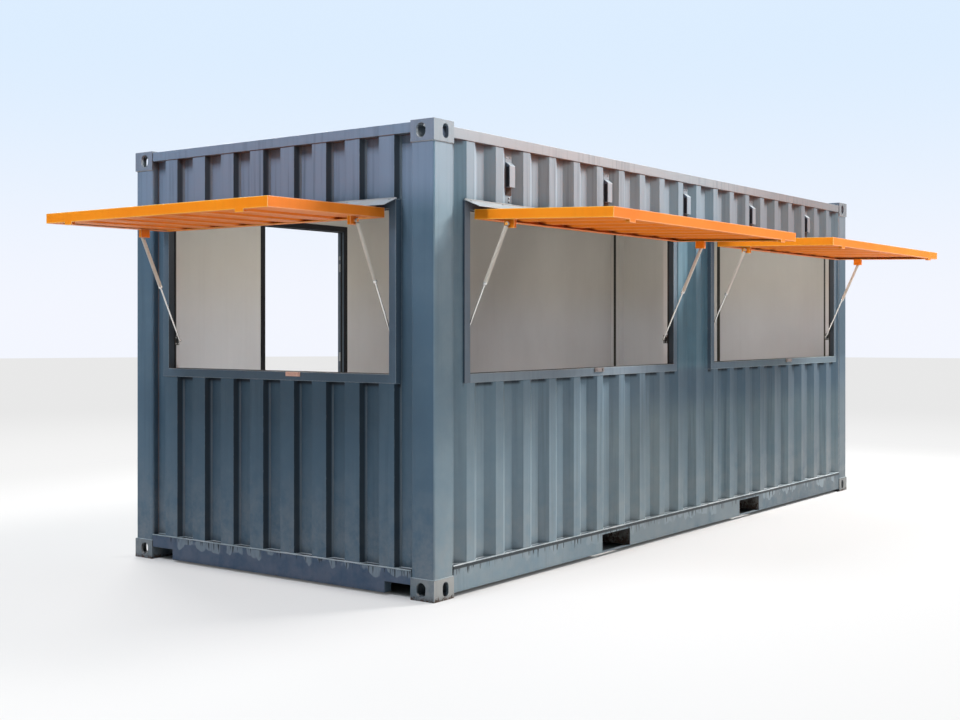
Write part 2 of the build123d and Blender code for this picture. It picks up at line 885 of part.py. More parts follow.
# Drip flashings: sloping plates over the hinge lines, seated on the frame and on the wall
with BuildPart() as drip_flashings:
    proud = (side_frame_proud, side_frame_proud, end_frame_proud)
    for (name, plane, clear, *rest), frame_proud in zip(hatches, proud):
        half = clear / 2 + hatch_frame_face + flashing_side_lap
        seat = hatch_frame_face - hinge_above_head
        wall = -hinge_out - frame_proud
        lip = flashing_reach - hinge_out
        with BuildSketch(plane.offset(-half)):
            with BuildLine():
                Polyline(
                    (wall, seat + 2 * flashing_plate),
                    (wall, seat),
                    (-hinge_out, seat),
                    (lip, flashing_lip_above_hinge),
                    (lip, flashing_lip_above_hinge + flashing_plate),
                    close=True,
                )
            make_face()
        extrude(amount=2 * half)
save(drip_flashings, "drip_flashings")

# Jamb brackets of the gas struts, on the lining edge, with a boss and a stud
with BuildPart() as strut_brackets:
    for name, plane, clear, *rest in hatches:
        back = -hinge_out - jamb_bracket_from_face - jamb_bracket_width
        bottom = -strut_lower_down - jamb_bracket_height / 2
        for k in (-1, 1):
            jamb = clear / 2
            with Locations(plane.location):
                block(
                    (back, back + jamb_bracket_width),
                    (bottom, bottom + jamb_bracket_height),
                    (k * (jamb - jamb_bracket_plate), k * jamb),
                )
                boss_end = jamb_bracket_plate + boss_length
                stud_end = strut_from_jamb - rod_eye_width / 2 - open_pivot_gap
                for radius, start, end in (
                    (boss_radius, jamb_bracket_plate, boss_end),
                    (strut_pin_radius, boss_end, stud_end),
                ):
                    with Locations((-strut_lower_in, -strut_lower_down, k * (jamb - (start + end) / 2))):
                        Cylinder(radius, end - start)
save(strut_brackets, "strut_brackets")

# Catch plates that the closed leaf is pinned to, on each hatch sill
with BuildPart() as catch_plates:
    for name, plane, clear, *rest in hatches:
        with Locations(plane.location):
            block(
                (-hinge_out, -hinge_out + catch_depth),
                (hatch_sill_z - catch_height - hinge_z, hatch_sill_z - hinge_z),
                (-catch_from_middle - catch_width / 2, -catch_from_middle + catch_width / 2),
            )
save(catch_plates, "catch_plates")
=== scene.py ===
import json
from math import cos, pi, radians, sin, tau

import bmesh
import bpy
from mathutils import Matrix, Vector, noise
from mathutils.bvhtree import BVHTree


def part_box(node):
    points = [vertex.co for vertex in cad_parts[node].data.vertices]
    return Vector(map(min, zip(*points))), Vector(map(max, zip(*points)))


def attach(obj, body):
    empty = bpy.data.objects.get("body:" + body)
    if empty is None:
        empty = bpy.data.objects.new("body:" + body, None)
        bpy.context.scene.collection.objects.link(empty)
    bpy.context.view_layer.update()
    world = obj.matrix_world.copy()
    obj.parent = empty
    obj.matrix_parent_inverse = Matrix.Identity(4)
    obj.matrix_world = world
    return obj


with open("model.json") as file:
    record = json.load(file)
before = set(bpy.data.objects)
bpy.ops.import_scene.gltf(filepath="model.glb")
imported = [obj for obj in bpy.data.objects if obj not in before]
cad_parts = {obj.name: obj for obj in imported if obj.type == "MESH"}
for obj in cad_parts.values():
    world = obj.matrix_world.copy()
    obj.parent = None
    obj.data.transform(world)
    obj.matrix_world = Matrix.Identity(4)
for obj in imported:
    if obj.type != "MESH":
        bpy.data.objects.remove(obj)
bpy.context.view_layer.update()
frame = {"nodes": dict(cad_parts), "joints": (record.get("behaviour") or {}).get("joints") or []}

piece = frame["nodes"]
joint = {each["name"]: each for each in frame["joints"]}


# Corner castings. Eight blocks of cast steel with oval lock holes, the corners that the whole
# box is welded to. Sand casting leaves a grainy skin and rounded edges, and they are painted
# with the container, with rust where they are knocked and where they stand on the ground.
def shader_group(name, **inputs):
    """An empty group of shader nodes with named inputs, and the values that come in."""
    tree = bpy.data.node_groups.new(name, "ShaderNodeTree")
    for label, value in inputs.items():
        socket = tree.interface.new_socket(label, in_out="INPUT", socket_type="NodeSocketFloat")
        socket.default_value = value
    return tree, tree.nodes.new("NodeGroupInput").outputs


def link(value, entry):
    """Feed a value into an input of the same tree."""
    entry.id_data.links.new(value, entry)


def give(tree, **masks):
    """Let a group of shader nodes give out masks under their names."""
    for label in masks:
        tree.interface.new_socket(label, in_out="OUTPUT", socket_type="NodeSocketFloat")
    results = tree.nodes.new("NodeGroupOutput").inputs
    for label, mask in masks.items():
        link(mask, results[label])


def add(tree, kind, inputs=(), **settings):
    """A shader node with its settings and inputs, where an input is a value or a socket."""
    node = tree.nodes.new("ShaderNode" + kind)
    for key, value in settings.items():
        setattr(node, key, value)
    for key, value in dict(inputs).items():
        entry = node.inputs[key]
        if isinstance(value, bpy.types.NodeSocket):
            link(value, entry)
        else:
            entry.default_value = (*value, 1) if entry.type == "RGBA" else value
    return node.outputs


def tree_of(*terms):
    """The tree of shader nodes that the sockets among some terms belong to."""
    return next(term.id_data for term in terms if isinstance(term, bpy.types.NodeSocket))


def maths(operation, first, second=0.0, third=0.0):
    """One sum or comparison."""
    inputs = {0: first, 1: second, 2: third}
    return add(tree_of(first, second, third), "Math", inputs, operation=operation)["Value"]


def times(first, *others):
    """The product of several masks."""
    for other in others:
        first = maths("MULTIPLY", first, other)
    return first


def ramp(value, low, high):
    """A smooth mask that is 0 at low and 1 at high."""
    inputs = {"Value": value, "From Min": low, "From Max": high}
    return add(value.id_data, "MapRange", inputs, interpolation_type="SMOOTHSTEP")["Result"]


def parts(tree, axes, kind="Object"):
    """Some coordinates of a place on the object, in metres, or of the normal there."""
    split = add(tree, "SeparateXYZ", {0: add(tree, "TexCoord")[kind]})
    return [split[axis] for axis in axes]


def cloud(tree, stretch, scale, detail=4.0, rough=0.55):
    """Fractal noise between 0 and 1, over places on the object scaled along each axis."""
    place = add(tree, "TexCoord")["Object"]
    place = add(tree, "Mapping", {"Vector": place, "Scale": stretch})["Vector"]
    inputs = {"Vector": place, "Scale": scale, "Detail": detail, "Roughness": rough}
    return add(tree, "TexNoise", inputs)["Fac"]


def mixed(mask, first, second, mode="MIX"):
    """The first colour turning into the second where the mask is 1."""
    inputs = {0: mask, 6: first, 7: second}
    return add(tree_of(mask, first, second), "Mix", inputs, data_type="RGBA", blend_type=mode)[2]


def tinted(mask, colour, tint):
    """A colour multiplied by a tint where the mask is 1."""
    return mixed(mask, colour, mixed(1.0, colour, tint, "MULTIPLY"))


even = (1, 1, 1)
edge_wear, values = shader_group("edge wear", Reach=0.003, Amount=0.4)
rounded = add(edge_wear, "Bevel", {"Radius": values["Reach"]}, samples=4)["Normal"]
flat = add(edge_wear, "NewGeometry")["Normal"]
facing = add(edge_wear, "VectorMath", {0: rounded, 1: flat}, operation="DOT_PRODUCT")["Value"]
limit = maths("SUBTRACT", 0.78, times(values["Amount"], 0.4))
worn = ramp(maths("SUBTRACT", cloud(edge_wear, even, 26.0, 6.0, 0.7), limit), -0.02, 0.06)
give(edge_wear, Mask=times(ramp(facing, 0.985, 0.86), worn))

run_marks, values = shader_group("run marks", Amount=0.4)
runs = ramp(cloud(run_marks, (34, 34, 0.9), 1.0, 5.0, 0.6), 0.45, 0.75)
broad = ramp(cloud(run_marks, even, 1.1, 3.0), 0.3, 0.65)
give(run_marks, Mask=times(runs, broad, values["Amount"]))

# Dust on faces that look up, and paler towards the ground: partly splashed dust, partly painted light
# from the ground.
dust, values = shader_group("dust", Amount=0.4, Splash=0.25)
lying = times(ramp(parts(dust, "Z", "Normal")[0], 0.35, 0.95), values["Amount"])
splashed = times(ramp(parts(dust, "Z")[0], 0.8, 0.1), values["Splash"])
specks = ramp(cloud(dust, even, 9.0, 8.0, 0.72), 0.3, 0.68)
give(dust, Mask=times(maths("MAXIMUM", lying, splashed), specks))

skin_grain, values = shader_group("skin grain", Scale=320.0)
fine = cloud(skin_grain, even, values["Scale"], 2.0)
coarse = cloud(skin_grain, even, times(values["Scale"], 0.2), 3.0)
give(skin_grain, Height=maths("ADD", fine, coarse))

# Painted light and shade by place and facing, mixed with sun bleach. High up the paint is paler,
# partly bleached and partly painted light. On the long sides it is painted lighter towards the near
# end and darker on the flats towards the far end, a little darker low at the near end, lighter low
# down from the middle on and on the slopes there, bluer on the slopes high up and lighter below the
# hatch sills from the middle on. Faces on the near end are marked for their own painted shade.
sun_bleach, values = shader_group("sun bleach", From=2.0, To=2.25)
x, y, z = parts(sun_bleach, "XYZ")
facing_x, facing_y = parts(sun_bleach, "XY", "Normal")
height = maths("SUBTRACT", z, times(cloud(sun_bleach, (6, 6, 0.6), 1.0, 4.0), 0.12))
long_side = maths("GREATER_THAN", maths("ABSOLUTE", y), 1.1)
broadside = maths("ABSOLUTE", facing_y)
sideways = times(ramp(broadside, 0.5, 0.8), long_side)
flat_on = times(ramp(broadside, 0.9, 0.97), long_side)
turned_away = ramp(facing_x, -0.2, -0.4)
low_down = times(ramp(height, 1.0, 0.75), ramp(x, -2.2, -0.4), long_side)
high_up = times(ramp(height, 1.9, 2.2), long_side, ramp(facing_x, -0.8, -0.6))
give(
    sun_bleach,
    High=ramp(height, values["From"], values["To"]),
    Side=times(sideways, ramp(x, 3.4, -3.4)),
    Near=times(sideways, ramp(x, 0.6, -3.3)),
    Far=times(flat_on, ramp(x, 0.2, 2.1)),
    Foot=times(ramp(x, -1.2, -2.4), ramp(height, 0.65, 0.2), sideways),
    Low=low_down,
    Lee=times(turned_away, low_down),
    Cool=times(turned_away, high_up),
    End=ramp(facing_x, -0.5, -0.8),
    Below=times(ramp(z, 1.25, 1.18), long_side, ramp(z, 0.172, 0.19), ramp(x, -1.5, -0.8)),
)

rust, values = shader_group("rust", Amount=0.3, Rise=0.05)
lower = ramp(parts(rust, "Z")[0], values["Rise"], 0.0)
bound = maths("SUBTRACT", 0.72, times(maths("ADD", lower, values["Amount"]), 0.22))
spots = maths("SUBTRACT", cloud(rust, even, 38.0, 8.0, 0.74), bound)
give(rust, Mask=ramp(spots, 0.0, 0.05))

# Painted shade: colour darkened where ambient occlusion finds the surface hemmed in, in folds, corners
# and under ledges.
folds, values = shader_group("grimy folds", Reach=0.06, Amount=0.6)
open_air = add(folds, "AmbientOcclusion", {"Distance": values["Reach"]}, samples=6)["AO"]
give(folds, Mask=times(ramp(open_air, 0.86, 0.38), values["Amount"]))

# Painted shade and highlight on the end walls: each slope of their folds is darkened towards the crest
# as painted shade, with a pale line towards the trough as painted highlight.
lee, values = shader_group("lee slopes", Amount=0.7)
out_along, out_across = (maths("ABSOLUTE", part) for part in parts(lee, "XY"))
turned_aside = ramp(maths("ABSOLUTE", parts(lee, "Y", "Normal")[0]), 0.5, 0.8)
on_slopes = times(turned_aside, maths("LESS_THAN", out_across, 1.1), values["Amount"])
give(
    lee,
    Shade=times(on_slopes, ramp(out_along, 2.982, 2.996)),
    Dust=times(on_slopes, ramp(out_along, 2.990, 2.981)),
)


def placed(tree, group, **inputs):
    """A shared group put into a material, with its own values."""
    node = tree.nodes.new("ShaderNodeGroup")
    node.node_tree = group
    for key, value in inputs.items():
        node.inputs[key].default_value = value
    return node.outputs


def plain_material(name):
    """A new material, its tree of shader nodes and the inputs of its surface."""
    material = bpy.data.materials.new(name)
    material.use_nodes = True
    return material, material.node_tree, material.node_tree.nodes["Principled BSDF"].inputs


def base_of(material):
    """The tree of a finished material, the input of its base colour and what feeds it."""
    tree = material.node_tree
    entry = tree.nodes["Principled BSDF"].inputs["Base Color"]
    return tree, entry, entry.links[0].from_socket


def shades(colour, *shares):
    """A colour with each part, or all three alike, multiplied by a share."""
    return [part * share for part, share in zip(colour, shares * (3 // len(shares)))]


# The near black of the painted shade in folds, and the tones of dust and rust.
grime_tone = (0.020, 0.026, 0.034)
dust_tone = (0.34, 0.33, 0.31)
rust_tone = (0.060, 0.034, 0.024)
# Tints of painted light and shade, by the masks of the group above.
sun_tints = {
    "Far": (0.78, 0.71, 0.69), "Foot": (0.96, 0.93, 0.91), "Low": (1.22, 1.12, 1.02),
    "Lee": (1.28, 1.24, 1.18), "Cool": (0.90, 1.06, 1.09), "Below": (1.32, 1.24, 1.20),
}


def painted_steel(
    name, paint, chalk, bare, gloss=0.42, wear=0.4, marks=0.4, dusty=0.4, grain=320.0,
    grain_depth=0.0002, buckle=0.0, metallic=0.0, bleached=None, rusty=None, reach=0.003,
    shine=0.28, grime=0.65, sheltered=0.0,
):
    """Paint on steel: faded in clouds, streaked by rain, dusty, bare at worn edges, with painted shade
    in its folds and, where given, painted light and shade by place and facing.
    """
    material, tree, surface = plain_material(name)
    tones = cloud(tree, even, 2.2, 6.0, 0.62)
    colour = mixed(ramp(tones, 0.32, 0.72), paint, chalk)
    # Painted light and shade by place and facing, over paint bleached high up.
    if bleached:
        sunned = placed(tree, sun_bleach)
        colour = tinted(sunned["Near"], colour, (2.85, 2.3, 1.95))
        high = mixed(sunned["Side"], bleached, shades(bleached, 1.55))
        high = mixed(sunned["End"], high, shades(bleached, 0.95, 1.0, 1.15))
        colour = mixed(sunned["High"], colour, high)
        for mask, tint in sun_tints.items():
            colour = tinted(sunned[mask], colour, tint)
    streaks = placed(tree, run_marks, Amount=marks)["Mask"]
    colour = mixed(streaks, colour, shades(paint, 0.6))
    # Dust on faces that look up, and a paler dust colour towards the ground: partly splashed dust,
    # partly painted light from the ground.
    lying = placed(tree, dust, Amount=dusty, Splash=dusty * 0.8)["Mask"]
    colour = mixed(lying, colour, dust_tone)
    # Painted shade and highlight on the slopes of the end walls' folds.
    if sheltered:
        slopes = placed(tree, lee, Amount=sheltered)
        colour = mixed(slopes["Shade"], colour, (0.010, 0.014, 0.020))
        colour = mixed(times(slopes["Dust"], 0.75), colour, (0.30, 0.34, 0.37))
    # Painted shade in folds and hollows.
    colour = mixed(placed(tree, folds, Amount=grime)["Mask"], colour, grime_tone)
    colour = mixed(placed(tree, edge_wear, Reach=reach, Amount=wear)["Mask"], colour, bare)
    if rusty:
        spots = placed(tree, rust, Amount=rusty[0], Rise=rusty[1])["Mask"]
        colour = mixed(spots, colour, rust_tone)
    link(colour, surface["Base Color"])
    rough = maths("MULTIPLY_ADD", lying, 0.35, gloss)
    link(maths("MULTIPLY_ADD", tones, 0.12, rough), surface["Roughness"])
    surface["Metallic"].default_value = metallic
    surface["Specular IOR Level"].default_value = shine
    height = placed(tree, skin_grain, Scale=grain)["Height"]
    bump = add(tree, "Bump", {"Height": height, "Strength": 0.6, "Distance": grain_depth})["Normal"]
    if buckle:
        waves = cloud(tree, (1, 1, 0.45), 3.2, 1.5, 0.4)
        inputs = {"Height": waves, "Distance": buckle, "Normal": bump}
        bump = add(tree, "Bump", inputs)["Normal"]
    link(bump, surface["Normal"])
    return material


def dress(material, *names):
    """Finish whole pieces of the frame in one material."""
    for name in names:
        for slot in piece[name].material_slots:
            slot.material = material


smooth_tree = bpy.data.node_groups.new("soft edges", "GeometryNodeTree")
for direction in ("INPUT", "OUTPUT"):
    smooth_tree.interface.new_socket("Geometry", in_out=direction, socket_type="NodeSocketGeometry")
smooth_in, smooth_out, smooth_faces, smooth_edges, edge_angle, blunt = (
    smooth_tree.nodes.new(kind) for kind in (
        "NodeGroupInput", "NodeGroupOutput", "GeometryNodeSetShadeSmooth",
        "GeometryNodeSetShadeSmooth", "GeometryNodeInputMeshEdgeAngle", "FunctionNodeCompare",
    )
)
smooth_edges.domain = "EDGE"
blunt.operation = "LESS_THAN"
blunt.inputs[1].default_value = radians(32)
link(edge_angle.outputs[0], blunt.inputs[0])
link(smooth_in.outputs[0], smooth_faces.inputs["Geometry"])
link(smooth_faces.outputs[0], smooth_edges.inputs["Geometry"])
link(blunt.outputs[0], smooth_edges.inputs["Shade Smooth"])
link(smooth_edges.outputs[0], smooth_out.inputs[0])


def round_edges(width, *names, segments=2):
    """Break the sharp edges of pieces of the frame, as rolling, casting or grinding leaves them."""
    for name in names:
        modifiers = piece[name].modifiers
        modifiers.new("joined faces", "WELD").merge_threshold = 0.00002
        flats = modifiers.new("flat faces", "DECIMATE")
        flats.decimate_type = "DISSOLVE"
        flats.angle_limit = radians(0.5)
        bevel = modifiers.new("rounded edges", "BEVEL")
        bevel.width = width
        bevel.segments = segments
        bevel.limit_method = "ANGLE"
        bevel.angle_limit = radians(40)
        modifiers.new("soft edges", "NODES").node_group = smooth_tree
        modifiers.new("flat look", "WEIGHTED_NORMAL").keep_sharp = True


container_blue = (0.066, 0.118, 0.168)
chalky_blue = (0.086, 0.142, 0.192)
# The high colour: paint bleached by the sun and lightened further as painted light.
sun_blue = (0.184, 0.240, 0.288)
worn_primer = (0.27, 0.30, 0.32)
cast_paint = painted_steel(
    "cast steel paint", (0.115, 0.152, 0.182), (0.148, 0.185, 0.210), worn_primer, gloss=0.5,
    wear=0.7, grain=140.0, grain_depth=0.0012, bleached=(0.20, 0.235, 0.265), rusty=(0.22, 0.05),
    dusty=0.6, reach=0.006,
)
dress(cast_paint, "bottom_corner_castings", "top_corner_castings")
round_edges(0.005, "bottom_corner_castings", "top_corner_castings", segments=3)


# Steel frame. Rolled corner posts, tube rails and headers, and folded sills and rails below, welded to
# the castings and sprayed in one coat. Old marks on the sills and rails were painted out by hand,
# which leaves paler blotches that hang from their top edge. A ragged dark band just under that top
# edge is painted shadow of the ledge, and the sills are painted darker and bluer on faces on the near
# end, as shade.
touch_up, values = shader_group("touch up", Top=0.150, Drop=0.085)
x, z = parts(touch_up, "XZ")
under = maths("SUBTRACT", values["Top"], z)
below_top = maths("GREATER_THAN", under, 0.0)
hanging = maths("DIVIDE", maths("MAXIMUM", under, 0.0), values["Drop"])
hanging = maths("POWER", hanging, 3.0)
daubs = cloud(touch_up, (1, 1, 0.6), 11.0, 1.5, 0.5)
runny = cloud(touch_up, (1, 1, 0.25), 60.0, 3.0, 0.6)
along_wall = cloud(touch_up, (1.3, 1.3, 0.1), 1.0, 1.0)
from_middle = maths("ABSOLUTE", maths("ADD", x, 0.25))
along_wall = maths("MAXIMUM", along_wall, ramp(from_middle, 0.75, 0.55))
bound = maths("MULTIPLY_ADD", hanging, 0.22, 0.45)
blotches = ramp(maths("SUBTRACT", daubs, bound), 0.0, 0.055)
blotches = times(blotches, maths("MULTIPLY_ADD", runny, 1.1, 0.2), ramp(along_wall, 0.34, 0.46))
thin_runs = cloud(touch_up, (75, 75, 2.5), 1.0, 2.0, 0.5)
run_limit = maths("MULTIPLY_ADD", hanging, 0.2, 0.60)
run_limit = maths("MULTIPLY_ADD", blotches, -0.06, run_limit)
run_length = maths("SUBTRACT", thin_runs, run_limit)
# Beside the thin drips, a ragged dark band just under the top edge is painted shadow of the ledge.
band = maths("SUBTRACT", maths("MULTIPLY_ADD", daubs, 0.030, -0.004), under)
drips = maths("MAXIMUM", ramp(run_length, 0.0, 0.05), ramp(band, 0.0, 0.003))
drips = maths("MAXIMUM", drips, ramp(under, 0.024, 0.017))
give(touch_up, Blotches=times(blotches, below_top), Drips=times(drips, below_top))

frame_paint = painted_steel(
    "frame paint", container_blue, chalky_blue, worn_primer, wear=0.55, marks=0.35, bleached=sun_blue,
)
dress(frame_paint, "corner_posts", "end_headers")
# Its high colour is paler than the other frame paints: partly bleached, partly painted light on the
# top rail.
rail_paint = painted_steel(
    "top rail paint", container_blue, chalky_blue, worn_primer, wear=0.5, marks=0.5,
    bleached=(0.238, 0.265, 0.292),
)
dress(rail_paint, "top_side_rails")
round_edges(0.003, "top_side_rails", "end_headers")
sill_paint = painted_steel(
    "sill paint", container_blue, chalky_blue, worn_primer, wear=0.6, marks=0.3, dusty=0.3,
    rusty=(0.0, 0.05), bleached=sun_blue,
)
sill_tree, sill_entry, plain_sill = base_of(sill_paint)
painted_out = placed(sill_tree, touch_up, Top=0.172)
# Painted shade: faces on the near end are darker and bluer.
end_on = placed(sill_tree, sun_bleach)["End"]
touched_sill = tinted(end_on, plain_sill, (0.70, 0.68, 0.80))
from_middle = maths("ABSOLUTE", maths("ADD", parts(sill_tree, "X")[0], 0.07))
repainted = times(ramp(cloud(sill_tree, (5, 5, 3), 1.0, 3.0), 0.3, 0.55), 0.5)
repainted = times(ramp(from_middle, 0.86, 0.84), repainted)
touched_sill = mixed(repainted, touched_sill, (0.20, 0.23, 0.245))
touched_sill = mixed(times(painted_out["Blotches"], 0.75), touched_sill, (0.25, 0.30, 0.33))
touched_sill = mixed(times(painted_out["Drips"], 0.92), touched_sill, (0.022, 0.026, 0.030))
link(touched_sill, sill_entry)
dress(sill_paint, "end_sills", "bottom_side_rails")
round_edges(0.003, "end_sills")
round_edges(0.0015, "bottom_side_rails")


# Underframe. Channels and fork pockets under the floor, welded between the rails, in dark
# chassis paint that the road has stained brown.
chassis_paint = painted_steel(
    "chassis paint", (0.035, 0.036, 0.036), (0.085, 0.07, 0.055), (0.16, 0.075, 0.035),
    gloss=0.7, wear=0.8, dusty=0.8, rusty=(0.35, 0.2),
)
dress(chassis_paint, "cross_members", "fork_pockets")


# Corrugated walls and roof. Pressed steel sheets welded into the frame, thin enough to buckle a little
# between their folds. The paint is paler high up, partly bleached by the sun and partly painted light,
# and dust lies on the roof. The walls carry painted shadow under the top rails and hatch frames,
# painted shade and highlight on the slopes of the end walls' folds, and painted light on the middle of
# the long walls.
sheet_paint = painted_steel(
    "sheet paint", container_blue, chalky_blue, (0.24, 0.29, 0.32), wear=0.55, marks=0.5,
    buckle=0.006, bleached=sun_blue, grime=0.55, sheltered=0.78,
)
sheet_tree, sheet_entry, sheet_colour = base_of(sheet_paint)
sheet_place = parts(sheet_tree, "XYZ")
up_the_wall = sheet_place[2]
out_x, out_y = (maths("ABSOLUTE", part) for part in sheet_place[:2])
in_trough = times(ramp(out_x, 3.010, 2.995), ramp(out_y, 1.207, 1.195))
through_wall = 0.12
soot = (0.012, 0.013, 0.016)
front_hatches = ("front_left_hatch", "front_right_hatch")
every_hatch = (*front_hatches, "end_hatch")


def soiled(colour, name, deep, amount, tone):
    """Painted shadow in the folds just under the lowest edge of a piece."""
    low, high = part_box(name)
    below = maths("SUBTRACT", low[2], up_the_wall)
    mask = times(ramp(below, deep, deep / 3), in_trough, maths("GREATER_THAN", below, -0.001))
    for axis in (0, 1):
        off = maths("SUBTRACT", sheet_place[axis], (low[axis] + high[axis]) / 2)
        half = max((high[axis] - low[axis]) / 2, through_wall)
        mask = times(mask, maths("LESS_THAN", maths("ABSOLUTE", off), half))
    return mixed(times(mask, amount), colour, tone)


# Painted shadow: near black under the hatch frames and dark maroon under the top rails.
for hatch in every_hatch:
    sheet_colour = soiled(sheet_colour, f"{hatch}_frame", 0.030, 0.85, soot)
sheet_colour = soiled(sheet_colour, "top_side_rails", 0.034, 0.55, (0.085, 0.048, 0.046))
# Painted light: a lighter, greener patch on the middle of the long walls between the hatch sills and
# heads, where the pier between the front hatches stands.
on_pier = times(
    ramp(up_the_wall, 1.15, 1.22), ramp(up_the_wall, 2.2, 2.1), ramp(out_x, 0.50, 0.42),
)
link(tinted(on_pier, sheet_colour, (1.15, 1.33, 1.28)), sheet_entry)
dress(
    sheet_paint, "front_wall_lower", "front_wall_upper", "front_wall_piers", "back_wall",
    "back_wall_over_door", "left_end_wall_lower", "left_end_wall_upper", "left_end_wall_sides",
    "right_end_wall",
)
roof_paint = painted_steel(
    "roof paint", container_blue, chalky_blue, worn_primer, gloss=0.62, wear=0.3, marks=0.2, dusty=0.8,
    buckle=0.008, bleached=sun_blue, rusty=(0.18, 0.05),
)
dress(roof_paint, "roof_panel", "roof_end_plates")


# Welds. Beads laid by hand where the sheets meet the frame, round the posts on their castings and
# round each frame that was let into the walls. They stand a little proud and ripple where the arc
# paused. The beads at the posts, rails, sills and roof are painted paler than the frame, partly as
# painted highlight, and the seams under the top rails and headers and up the ends of the end walls are
# dark brown as painted shadow.
def skin_of(*names):
    """A search tree over the faces of several pieces of the frame."""
    points, faces = [], []
    for name in names:
        first = len(points)
        points += [vertex.co.copy() for vertex in piece[name].data.vertices]
        faces += [[first + corner for corner in face.vertices] for face in piece[name].data.polygons]
    return BVHTree.FromPolygons(points, faces)


def traced(skin, start, end, toward, reach=0.13, step=0.003):
    """Lines of points where rays cast from a straight line meet the skin."""
    start, end = Vector(start), Vector(end)
    count = round((end - start).length / step)
    lines = [[]]
    for number in range(count + 1):
        place = skin.ray_cast(start.lerp(end, number / count), Vector(toward), reach)[0]
        if place:
            lines[-1].append(place)
        elif lines[-1]:
            lines.append([])
    return [line for line in lines if len(line) > 3]


def spaced(path, step):
    """Evenly spaced points along a path of straight runs."""
    reached = [0.0]
    for first, second in zip(path, path[1:]):
        reached.append(reached[-1] + (second - first).length)
    count = max(2, round(reached[-1] / step))
    points, leg = [], 0
    for number in range(count + 1):
        distance = reached[-1] * number / count
        while leg < len(path) - 2 and reached[leg + 1] < distance:
            leg += 1
        span = max(reached[leg + 1] - reached[leg], 0.000001)
        points.append(path[leg].lerp(path[leg + 1], (distance - reached[leg]) / span))
    return points


def skinned(shape, rings):
    """Faces between rings of points, closed at both ends."""
    for first, second in zip(rings, rings[1:]):
        for number in range(len(first)):
            shape.faces.new((first[number - 1], first[number], second[number], second[number - 1]))
    shape.faces.new(rings[0][::-1])
    shape.faces.new(rings[-1])


def ring(shape, middle, side, other, radius, sides):
    """One ring of points about a middle."""
    angles = [tau * number / sides for number in range(sides)]
    return [
        shape.verts.new(middle + radius * (cos(angle) * side + sin(angle) * other))
        for angle in angles
    ]


def tube(shape, path, radii, sides=6):
    """A round bar along a path, with its own radius at each point."""
    rings, side = [], None
    for number, place in enumerate(path):
        last = min(number + 1, len(path) - 1)
        ahead = (path[last] - path[max(number - 1, 0)]).normalized()
        side = ahead.orthogonal() if side is None else side - ahead * side.dot(ahead)
        side.normalize()
        rings.append(ring(shape, place, side, ahead.cross(side), radii[number], sides))
    skinned(shape, rings)


def on_wall(axis, along, out, up):
    """A place along a wall that runs on one axis, out from the cabin's middle and up."""
    return Vector((out, along, up) if axis else (along, out, up))


def weld_bead(shape, path, radius=0.003, ripple=0.014):
    """A bead along a path, with the ripples of its pool."""
    points = spaced(path, ripple / 4)
    radii = [
        radius * (0.78 + 0.22 * abs(sin(pi * number / 4)) + 0.3 * noise.noise(point * 35))
        for number, point in enumerate(points)
    ]
    tube(shape, points, radii, 5)


def finished(name, shape, material, body="cabin"):
    """A new piece from its mesh: it rides on a body and takes the material given."""
    bmesh.ops.recalc_face_normals(shape, faces=shape.faces)
    mesh = bpy.data.meshes.new(name)
    shape.to_mesh(mesh)
    shape.free()
    mesh.materials.append(material)
    mesh.shade_smooth()
    mesh.set_sharp_from_angle(angle=radians(38))
    made = bpy.data.objects.new(name, mesh)
    bpy.context.scene.collection.objects.link(made)
    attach(made, body)


# Paler than the frame paint, partly as painted highlight along the beads.
weld_paint = painted_steel(
    "weld paint", (0.24, 0.30, 0.33), (0.50, 0.54, 0.56), (0.33, 0.35, 0.36),
    gloss=0.38, wear=0.0, marks=0.0, dusty=0.0, grain=260.0, grime=0.0,
)
# Painted shadow: dark brown seams under the top rails and headers and up the ends of the end walls.
seam_paint = painted_steel(
    "seam primer", (0.085, 0.060, 0.058), (0.13, 0.11, 0.11), (0.2, 0.2, 0.2),
    gloss=0.6, wear=0.0, marks=0.4, dusty=0.2, grime=0.3,
)
frame_x, frame_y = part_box("corner_posts")[1][:2]
inner_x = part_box("top_side_rails")[1][0]
inner_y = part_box("end_headers")[1][1]
casting_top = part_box("bottom_corner_castings")[1][2]
top_casting_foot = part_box("top_corner_castings")[0][2]
rail_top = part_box("bottom_side_rails")[1][2]
sill_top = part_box("end_sills")[1][2]
wall_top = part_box("top_side_rails")[0][2]
header_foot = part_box("end_headers")[0][2]
wall_skin = skin_of(
    "front_wall_lower", "front_wall_upper", "front_wall_piers", "back_wall", "back_wall_over_door",
    "left_end_wall_lower", "left_end_wall_upper", "left_end_wall_sides", "right_end_wall",
)
clear_of_wall = 0.1
post_corner = 0.014

beads = bmesh.new()
for end_way in (-1, 1):
    for side_way in (-1, 1):
        for height in (casting_top, top_casting_foot):
            turn = [
                (frame_x + post_corner * (cos(angle) - 1), frame_y + post_corner * (sin(angle) - 1))
                for angle in (radians(90 - 15 * step) for step in range(7))
            ]
            around = [(inner_x, frame_y), *turn, (frame_x, inner_y)]
            path = [Vector((end_way * x, side_way * y, height)) for x, y in around]
            weld_bead(beads, path, 0.0042)
finished("post_welds", beads, weld_paint)

